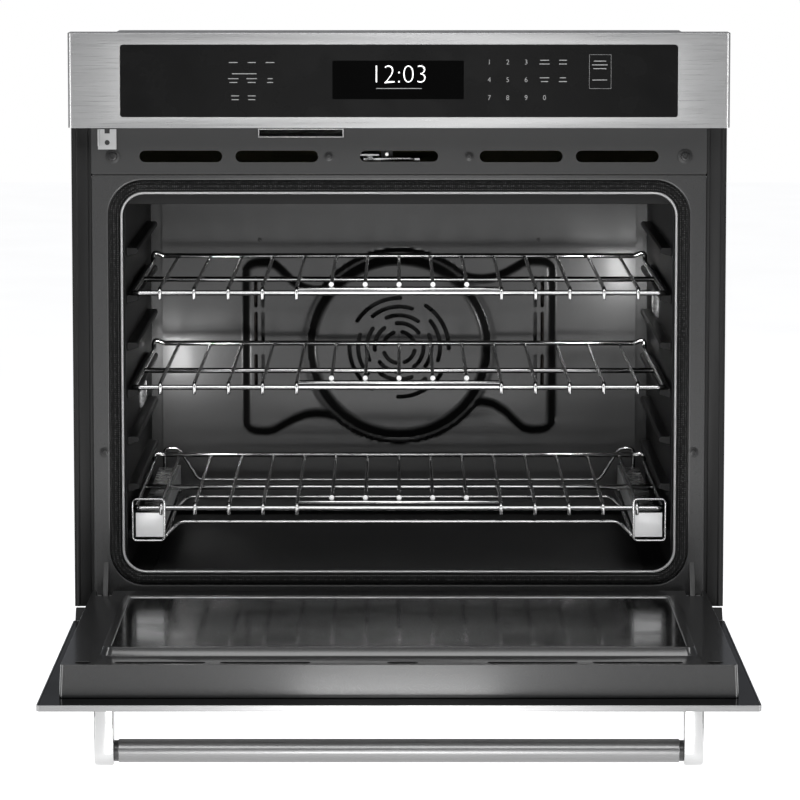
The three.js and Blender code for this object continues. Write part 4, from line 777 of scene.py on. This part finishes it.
def cover_height(x, z):
    """Height in mm of the pressed cover over its plate: a bow tie with sloped edges, then a dished disc."""
    turned_x, turned_z = np.where(x > 0, -x, x), np.where(x > 0, -z, z)
    top, bottom = bow_tie_edge(turned_x)
    inside = np.minimum(np.minimum(top - turned_z, turned_z - bottom), LOBE_END + turned_x)
    lobe = LOBE_RISE * smoothstep(inside, 0, 11)
    radius = np.hypot(x, z)
    wall = LOBE_RISE * smoothstep(DISC_FOOT - radius, 0, 3)
    lip = LIP_RISE * np.exp(-((radius - (DISC_RIM + 1)) / 2.2) ** 2)
    dish = DISC_RISE * smoothstep(DISC_RIM - radius, 0, 13)
    return np.maximum(lobe, wall) + lip + dish


def convection_cover():
    """A fine grid over the cover's plate, raised by cover_height, and the slope at each of its points, which
    paints shade on the cover's colour.
    """
    half = high("convection_cover", 0) / MM
    bottom, top = low("convection_cover", 2) / MM, high("convection_cover", 2) / MM
    xs = np.linspace(-half, half, 241)
    zs = np.linspace(bottom, top, 181)
    grid_x, grid_z = np.meshgrid(xs, zs)
    rise = cover_height(grid_x, grid_z - FAN_Z / MM)
    points = np.stack([grid_x * MM, COVER_FRONT - rise * MM, grid_z * MM], -1).reshape(-1, 3)
    slope_z, slope_x = np.gradient(rise, zs, xs)
    return points, grid_faces(len(zs), len(xs)), np.hypot(slope_x, slope_z).ravel()


cover_points, cover_faces, cover_slope_shade = convection_cover()
cover = piece("convection_cover_pressing", (cover_points, cover_faces), "chassis", SLOPE_SHADED_COVER_ENAMEL,
              ["convection_cover"])
# The slope becomes a point attribute that darkens the cover's enamel on steep slopes: painted shade.
bend = cover.data.attributes.new("bend", "FLOAT", "POINT")
bend.data.foreach_set("value", np.clip(cover_slope_shade, 0, 1).astype(np.float32))
wall = cover.modifiers.new("sheet", "SOLIDIFY")
wall.thickness = 1.2 * MM


def slot_cutter(centre_line, width, front, back):
    """A slot's prism: a centre line widened to its sides, with half-round ends, and its outline's count."""
    line = np.asarray(centre_line, float)
    along = np.gradient(line, axis=0)
    along /= np.linalg.norm(along, axis=1)[:, None]
    across = np.stack([-along[:, 1], along[:, 0]], -1) * width / 2
    turn = np.linspace(0, TAU / 2, 9)[1:-1, None]
    tip = line[-1] + across[-1] * np.cos(turn) + along[-1] * width / 2 * np.sin(turn)
    tail = line[0] - across[0] * np.cos(turn) - along[0] * width / 2 * np.sin(turn)
    outline = np.concatenate([line + across, tip, (line - across)[::-1], tail])
    return loft([upright(outline, front), upright(outline, back)]), len(outline)


def cut_through(item, outlines):
    """Opens slots in a closed sheet and keeps the result as the piece's own mesh."""
    work = bmesh.new()
    points, polygons, offset = [], [], 0
    for (slot_points, slot_faces), count in outlines:
        points += slot_points.tolist()
        ends = [np.arange(count), np.arange(count) + count]
        polygons += [(face + offset).tolist() for face in (*slot_faces, *ends)]
        offset += 2 * count
    cutter_mesh = bpy.data.meshes.new("slot_cutters")
    cutter_mesh.from_pydata(points, [], polygons)
    work.from_mesh(cutter_mesh)
    bmesh.ops.recalc_face_normals(work, faces=work.faces)
    work.to_mesh(cutter_mesh)
    work.free()
    cutter = shown("slot_cutters", cutter_mesh)
    opening = item.modifiers.new("slots", "BOOLEAN")
    opening.operation = "DIFFERENCE"
    opening.solver = "MANIFOLD"
    opening.object = cutter
    bpy.context.view_layer.update()
    cut = bpy.data.meshes.new_from_object(item.evaluated_get(bpy.context.evaluated_depsgraph_get()))
    item.modifiers.clear()
    item.data = cut
    bpy.data.objects.remove(cutter)
    cut.set_sharp_from_angle(angle=math.radians(40))


def cover_openings():
    """Fan slots in the disc, five arcs in each quarter, and six discharge slots in each lobe."""
    cutters = []
    disc_y, lobe_y = COVER_FRONT - 20.3 * MM, COVER_FRONT - 8.3 * MM
    through, sweep, step = 6 * MM, 1.02, 0.30
    for turn in range(4):
        for index, radius in enumerate((20, 31, 41, 52, 63)):
            start = turn * TAU / 4 + index * step + 0.35
            angle = np.linspace(start, start + sweep, 14)
            line = np.stack([radius * MM * np.cos(angle), FAN_Z + radius * MM * np.sin(angle)], -1)
            cutters.append(slot_cutter(line, 5.4 * MM, disc_y - through, disc_y + through))
    for side in (-1, 1):
        for x in (173, 182):
            for z in (-48, 6, 52):
                line = np.stack([np.full(3, side * x * MM), FAN_Z + np.linspace(z, z + 36, 3) * MM], -1)
                cutters.append(slot_cutter(line, 4.6 * MM, lobe_y - through, lobe_y + through))
    return cutters


cut_through(cover, cover_openings())


# ---- elements and lamps
SHEATH = 3.2 * MM  # heating tube's radius


def element_tube(node, half, bend):
    """A flat heating tube: one half of its path as (x, y) pairs, then the mirror image of that half."""
    z = mid(node, 2)
    corners = [(x, y, z) for x, y in half] + [(-x, y, z) for x, y in reversed(half)]
    return piece(node + "_tube", tube(bent_path(corners, bend), SHEATH, 12), "chassis",
                 FINISH["element_sheath"], [node])


def broil_half(node):
    """Right half of the path: out of the back wall, forward along the side, one loop to the middle."""
    reach, front, rear = high(node, 0) - SHEATH, low(node, 1) + SHEATH, high(node, 1) - 6 * MM
    turn, short = rear - 52 * MM, rear - 90 * MM
    outer, inner = reach - 90 * MM, reach - 180 * MM
    return [(60 * MM, rear), (60 * MM, turn), (reach, turn), (reach, front),
            (outer, front), (outer, short), (inner, short), (inner, front)]


def bake_half(node):
    """Left half of the path: out of the back wall, then forward along the side to the front."""
    reach, front, rear = high(node, 0) - SHEATH, low(node, 1) + SHEATH, high(node, 1) - 3 * MM
    turn = rear - 60 * MM
    return [(-40 * MM, rear), (-40 * MM, turn), (-reach, turn), (-reach, front)]


element_tube("broil_element", broil_half("broil_element"), 24 * MM)
element_tube("bake_element", bake_half("bake_element"), 30 * MM)


def convection_loop():
    """Heating tube that follows the bow tie behind the cover, its ends turned back at the top."""
    y = low("convection_element", 1) + 3.4 * MM
    lobe = [(92, 66), (112, 66), (150, 92), (178, 90), (184, 60), (184, -60),
            (178, -90), (150, -86), (110, -80), (70, -88), (20, -108)]
    left = [(-x * MM, y, FAN_Z + z * MM) for x, z in lobe]
    right = [(x * MM, y, FAN_Z - z * MM) for x, z in lobe]
    ends = [(-80 * MM, y + 17 * MM, FAN_Z + 68 * MM), (14 * MM, y + 17 * MM, FAN_Z + 110 * MM)]
    return tube(bent_path([ends[0], *left, *right, ends[1]], 30 * MM), 3.3 * MM, 12)


piece("convection_loop", convection_loop(), "chassis", FINISH["element_sheath"],
      ["convection_element"])


def lamp_window(node, side):
    """A pillowed glass window: rounded loops that shrink as they rise from the wall."""
    y0, y1 = low(node, 1), high(node, 1)
    z0, z1 = low(node, 2), high(node, 2)
    middle = (y0 + y1) / 2
    wall_x = side * high("lamp_lens_right", 0)
    loops = []
    for share in np.linspace(0, 1, 9):
        inset = 9 * MM * (1 - math.sqrt(max(0.0, 1 - share**2)))
        loop = rounded_loop((y1 - y0) / 2 - inset, (z0 + inset, z1 - inset), 9 * MM - inset * 0.4)
        x = wall_x - side * 6 * MM * share
        loops.append(np.stack([np.full(len(loop), x), middle + loop[:, 0], loop[:, 1]], -1))
    return loft(loops, cap=True)


def lamp_glow(name):
    """Ribbed heat-proof glass that catches the light."""
    recipe = Recipe(name, 0.12, coat=0.6)
    ribs = recipe.noise(220.0, 3.0, 0.6, recipe.stretched((1.0, 0.15, 1.0)))
    recipe.colour(recipe.ramp(ribs, [(0.3, 0.30), (0.55, 0.75), (0.7, 0.95)]))
    recipe.bump(ribs, 0.0008, 0.6)
    return recipe.material


LAMP_GLASS = lamp_glow("lamp_glass")
for side, node in ((1, "lamp_lens_right"), (-1, "lamp_lens_left")):
    piece(node + "_dome", lamp_window(node, side), "chassis", LAMP_GLASS, [node])


# ---- handle
BAR_AT = (0, mid("handle_bar", 1), mid("handle_bar", 2))
BAR_R = (high("handle_bar", 1) - low("handle_bar", 1)) / 2
BAR_END = high("handle_bar", 0)
COLLAR = 5 * MM  # how much of each end is collar


def handle_bar():
    """Round bar with a tapered last millimetre at each end, which stops 4 mm inside the collar's face."""
    full, end, tip = BAR_END - COLLAR, BAR_END - 4 * MM, BAR_R - MM
    return turned([(0, -end), (tip, -end), (BAR_R, -full), (BAR_R, full), (tip, end), (0, end)],
                  BAR_AT, (1, 0, 0), 72)


def handle_collar(side):
    """A disc over one end of the bar, 1.2 mm less in radius."""
    start, radius = BAR_END - COLLAR, BAR_R - 1.2 * MM
    return turned([(0, start), (radius, start), (radius, BAR_END), (0, BAR_END)], BAR_AT, (side, 0, 0), 48)


piece("handle_bar_tube", handle_bar(), "door", SHADED_BAR_STEEL, ["handle_bar"], sharp=40)
for side, label in SIDES:
    piece("handle_collar_" + label, handle_collar(side), "door", DARK_COLLAR, sharp=40)


def handle_post(node):
    """A thick plate with a round end: its outline in Y and Z carried along X, with rounded rims."""
    x0, x1 = low(node, 0), high(node, 0)
    root = high(node, 2)
    half_root, half_nose, rim = 14 * MM, 15.5 * MM, 1.6 * MM
    bar_y, bar_z = BAR_AT[1:]
    arc = np.linspace(0, TAU / 2, 33)
    nose = np.stack([bar_y + half_nose * np.cos(arc), bar_z - half_nose * np.sin(arc)], -1)
    outline = np.concatenate([[(bar_y + half_root, root)], nose, [(bar_y - half_root, root)]])
    centre = outline.mean(0)

    def section(x, inset):
        """The outline at x, drawn in towards its middle by inset; the root stays in its plane."""
        shift = outline - centre
        length = np.linalg.norm(shift, axis=1)[:, None]
        flat = centre + shift * (1 - inset / length)
        flat[:, 1] = np.minimum(flat[:, 1], root)
        return np.stack([np.full(len(flat), x), flat[:, 0], flat[:, 1]], -1)

    loops = [section(x0, rim), section(x0 + 0.25 * rim, 0.4 * rim), section(x0 + rim, 0),
             section(x1 - rim, 0), section(x1 - 0.25 * rim, 0.4 * rim), section(x1, rim)]
    return loft(loops, cap=True)


for node in ("handle_post_right", "handle_post_left"):
    piece(node + "_casting", handle_post(node), "door", FINISH["polished_steel"], [node],
          sharp=50)


def glass_rim():
    """Bright bead round the door's inner glass, carried round the glass's rim on the open door: a painted
    highlight line.
    """
    near, far = HINGE[1] - high("door_inner_glass", 1), HINGE[1] - low("door_inner_glass", 1)
    top = high("door_inner_glass", 2) - HINGE[2]
    return bead(high("door_inner_glass", 0) + 0.6 * MM, (near, far), 6 * MM, 0.9 * MM,
                lambda loop, rise: lay(loop, top + rise))


piece("inner_glass_rim", glass_rim(), "door", LIP_HIGHLIGHT)


# ---- screws
def screw(name, place, radius):
    """Domed screw head on a washer, with a recessed socket, that faces the room; profile in radii."""
    profile = np.array([(0, 0.27), (0.28, 0.27), (0.3, 0.5), (0.55, 0.47),
                        (0.62, 0.2), (1, 0.16), (1, -0.2), (0, -0.2)]) * radius
    return piece(name, turned(profile, place, (0, -1, 0), 24), "chassis", BLACK_SCREW, sharp=35)


FACE_Y = low("front_frame", 1)
PLATE_Z = high("front_frame", 2) + 21.2 * MM
for side, label in SIDES:
    screw("trim_screw_" + label, (side * 330 * MM, FACE_Y, PLATE_Z), 8.5 * MM)
    screw("plate_screw_" + label, (side * 81 * MM, FACE_Y, PLATE_Z), 5.5 * MM)
    screw("frame_screw_" + label, (side * 342 * MM, FACE_Y, 222 * MM), 6 * MM)
    screw("cover_screw_" + label, (side * 177 * MM, COVER_FRONT, 429 * MM), 4.5 * MM)


# ---- control panel marks
PRINT_Y = low("control_glass", 1) - 0.12 * MM


def marks(name, outlines):
    """Flat printed marks: each outline (x, x, z, z in mm) becomes a thin plate just proud of the glass."""
    parts = []
    for x0, x1, z0, z1 in np.array(outlines) * MM:
        loop = rounded_loop((x1 - x0) / 2, (z0, z1), min(x1 - x0, z1 - z0) * 0.3, 3)
        loop[:, 0] += (x0 + x1) / 2
        parts.append(loft([upright(loop, PRINT_Y + 0.1 * MM), upright(loop, PRINT_Y)], cap=True))
    return piece(name, joined(parts), "chassis", PRINT_WHITE, sharp=30)


def digits(name, text, x, z, size, material, slim):
    """Plain numerals as a thin mesh that stands just proud of the glass, thinned by slim; all in mm."""
    curve = bpy.data.curves.new(name, "FONT")
    curve.body = text
    curve.size = size * MM
    curve.align_x = curve.align_y = "CENTER"
    curve.extrude = 0.05 * MM
    curve.offset = -slim * MM
    curve.resolution_u = 4
    holder = shown(name + "_text", curve)
    bpy.context.view_layer.update()
    mesh = bpy.data.meshes.new_from_object(holder)
    bpy.data.objects.remove(holder)
    points = np.empty(len(mesh.vertices) * 3, np.float32)
    mesh.vertices.foreach_get("co", points)
    points = points.reshape(-1, 3)
    placed = np.stack([x * MM + points[:, 0], PRINT_Y - points[:, 2], z * MM + points[:, 1]], -1)
    mesh.vertices.foreach_set("co", placed.astype(np.float32).ravel())
    mesh.update()
    mesh.name = name
    mesh.materials.clear()
    return finished(name, mesh, "chassis", material, sharp=30)


def legend(x, z, widths, pitch=4.3, thick=0.8):
    """Lines of a key's legend as plain dashes, in mm: each width in turn, a pitch lower than the last."""
    return [(x - wide / 2, x + wide / 2, z - pitch * line, z - pitch * line + thick)
            for line, wide in enumerate(widths)]


digits("clock_digits", "12:03", 0, 661.5, 30, DIGIT_WHITE, 0.8)
KEYS = [(x, z) for z in (676, 656, 635.5) for x in (103, 124, 145)]
for number, (x, z) in enumerate(KEYS, 1):
    digits(f"key_{number}", str(number), x, z, 8, PRINT_WHITE, 0.1)
digits("key_0", "0", 166, 635.5, 8, PRINT_WHITE, 0.1)

LEGENDS = [  # x, top line's z, and each line's width, in mm
    (-189, 675.4, [10]), (-168, 675.4, [9]), (-147, 675.4, [10]), (-176.5, 662.6, [28]),
    (-189, 657, [12, 9]), (-168, 657, [12, 9]), (-147, 657, [6, 7]), (-187, 637.4, [9, 8]),
    (-168, 637.4, [9, 8]),
    (166, 678, [10, 12]), (187, 678, [9, 9]), (166, 658, [11, 8]), (187, 658, [7, 9]),
    (229, 677, [14, 18, 15]), (229, 655.5, [17]),
]
CLOCK_LINE = (-26, 26, 645.9, 646.6)
marks("panel_marks", [CLOCK_LINE] + [dash for key in LEGENDS for dash in legend(*key)])
marks("start_pad_outline", [(217, 242, 684.6, 684.85), (217, 242, 646, 646.25),
                            (217, 217.25, 646, 684.85), (241.75, 242, 646, 684.85)])


def display_screen():
    """The dark screen: a round-cornered plate, a millimetre left of the middle."""
    screen = rounded_loop(75 * MM, (634 * MM, 678 * MM), 1.5 * MM)
    screen[:, 0] -= MM
    return loft([upright(screen, PRINT_Y + 0.1 * MM), upright(screen, PRINT_Y + 0.05 * MM)], cap=True)


piece("display_screen", display_screen(), "chassis", black_glass("display_face", 0.0005, 0.3, 0.02),
      sharp=30)


# ---- studio
def area_light(name, place, aim, size, energy):
    """A soft rectangular light at place, pointed at aim."""
    light = bpy.data.lights.new(name, "AREA")
    light.shape = "RECTANGLE"
    light.size, light.size_y = size
    light.energy = energy
    holder = shown(name, light)
    holder.location = place
    holder.rotation_euler = (Vector(aim) - Vector(place)).to_track_quat("-Z", "Y").to_euler()
    holder.visible_camera = False
    return holder


area_light("front_soft_box", (0, -3.0, 2.8), (0, 0, 0.4), (3.2, 1.4), 70)
area_light("centre_card", (0, -3.4, 0.48), (0, 0, 0.5), (0.62, 0.5), 3.6)
for side, label in SIDES:
    area_light(label + "_strip", (2.6 * side, -1.6, 0.9), (0, -0.1, 0.35), (0.6, 2.4), 28)
area_light("low_front_fill", (0, -2.3, -0.24), (0, -0.5, 0.05), (0.5, 0.3), 6.5)
area_light("top_soft_box", (0, 0.3, 2.8), (0, 0, 0.3), (2.6, 2.6), 40)
for side, label in SIDES:
    lamp = (0.29 * side, 0.3, low("lamp_lens_" + label, 2) + 0.02)
    area_light("cavity_lamp_" + label, lamp, (0.2 * side, 0.51, 0.33), (0.03, 0.05), 0.26)

world = bpy.data.worlds.new("studio")
world.use_nodes = True
tree = world.node_tree
surroundings = tree.nodes["Background"]
surroundings.inputs["Color"].default_value = (0.9, 0.93, 1.0, 1)
surroundings.inputs["Strength"].default_value = 0.13
backdrop = tree.nodes.new("ShaderNodeBackground")
backdrop.inputs["Color"].default_value = (1, 1, 1, 1)
backdrop.inputs["Strength"].default_value = 1.0
seen = tree.nodes.new("ShaderNodeLightPath")
choice = tree.nodes.new("ShaderNodeMixShader")
tree.links.new(seen.outputs["Is Camera Ray"], choice.inputs["Fac"])
tree.links.new(surroundings.outputs["Background"], choice.inputs[1])
tree.links.new(backdrop.outputs["Background"], choice.inputs[2])
tree.links.new(choice.outputs["Shader"], tree.nodes["World Output"].inputs["Surface"])
bpy.context.scene.world = world
bpy.context.scene.view_settings.view_transform = "Standard"

FLOOR_HALF, FLOOR_DROP = 14, 0.35
floor_z = cad_box[0].z - FLOOR_DROP
floor_mesh = bpy.data.meshes.new("floor")
floor_corners = [(FLOOR_HALF * a, FLOOR_HALF * b, floor_z) for a, b in ((-1, -1), (1, -1), (1, 1), (-1, 1))]
floor_mesh.from_pydata(floor_corners, [], [(0, 1, 2, 3)])
floor = shown("floor", floor_mesh)
floor_finish = Recipe("pale_floor", 0.9, glow=0.95)
pale = floor_finish.ramp(floor_finish.noise(3.0, 2.0), [(0.3, 0.9), (0.7, 0.92)])
floor_finish.colour(pale)
floor_finish.emit(pale)
floor_mesh.materials.append(floor_finish.material)

CAMERA_PITCH = 6.59  # degrees down
lens = bpy.data.cameras.new("camera")
lens.sensor_width = 36
lens.lens = 200.9
lens.clip_end = 60
camera = shown("camera", lens)
camera.location = (0.00115, -5.148, 0.8777)
camera.rotation_euler = (math.radians(90 - CAMERA_PITCH), 0, 0)
bpy.context.scene.camera = camera
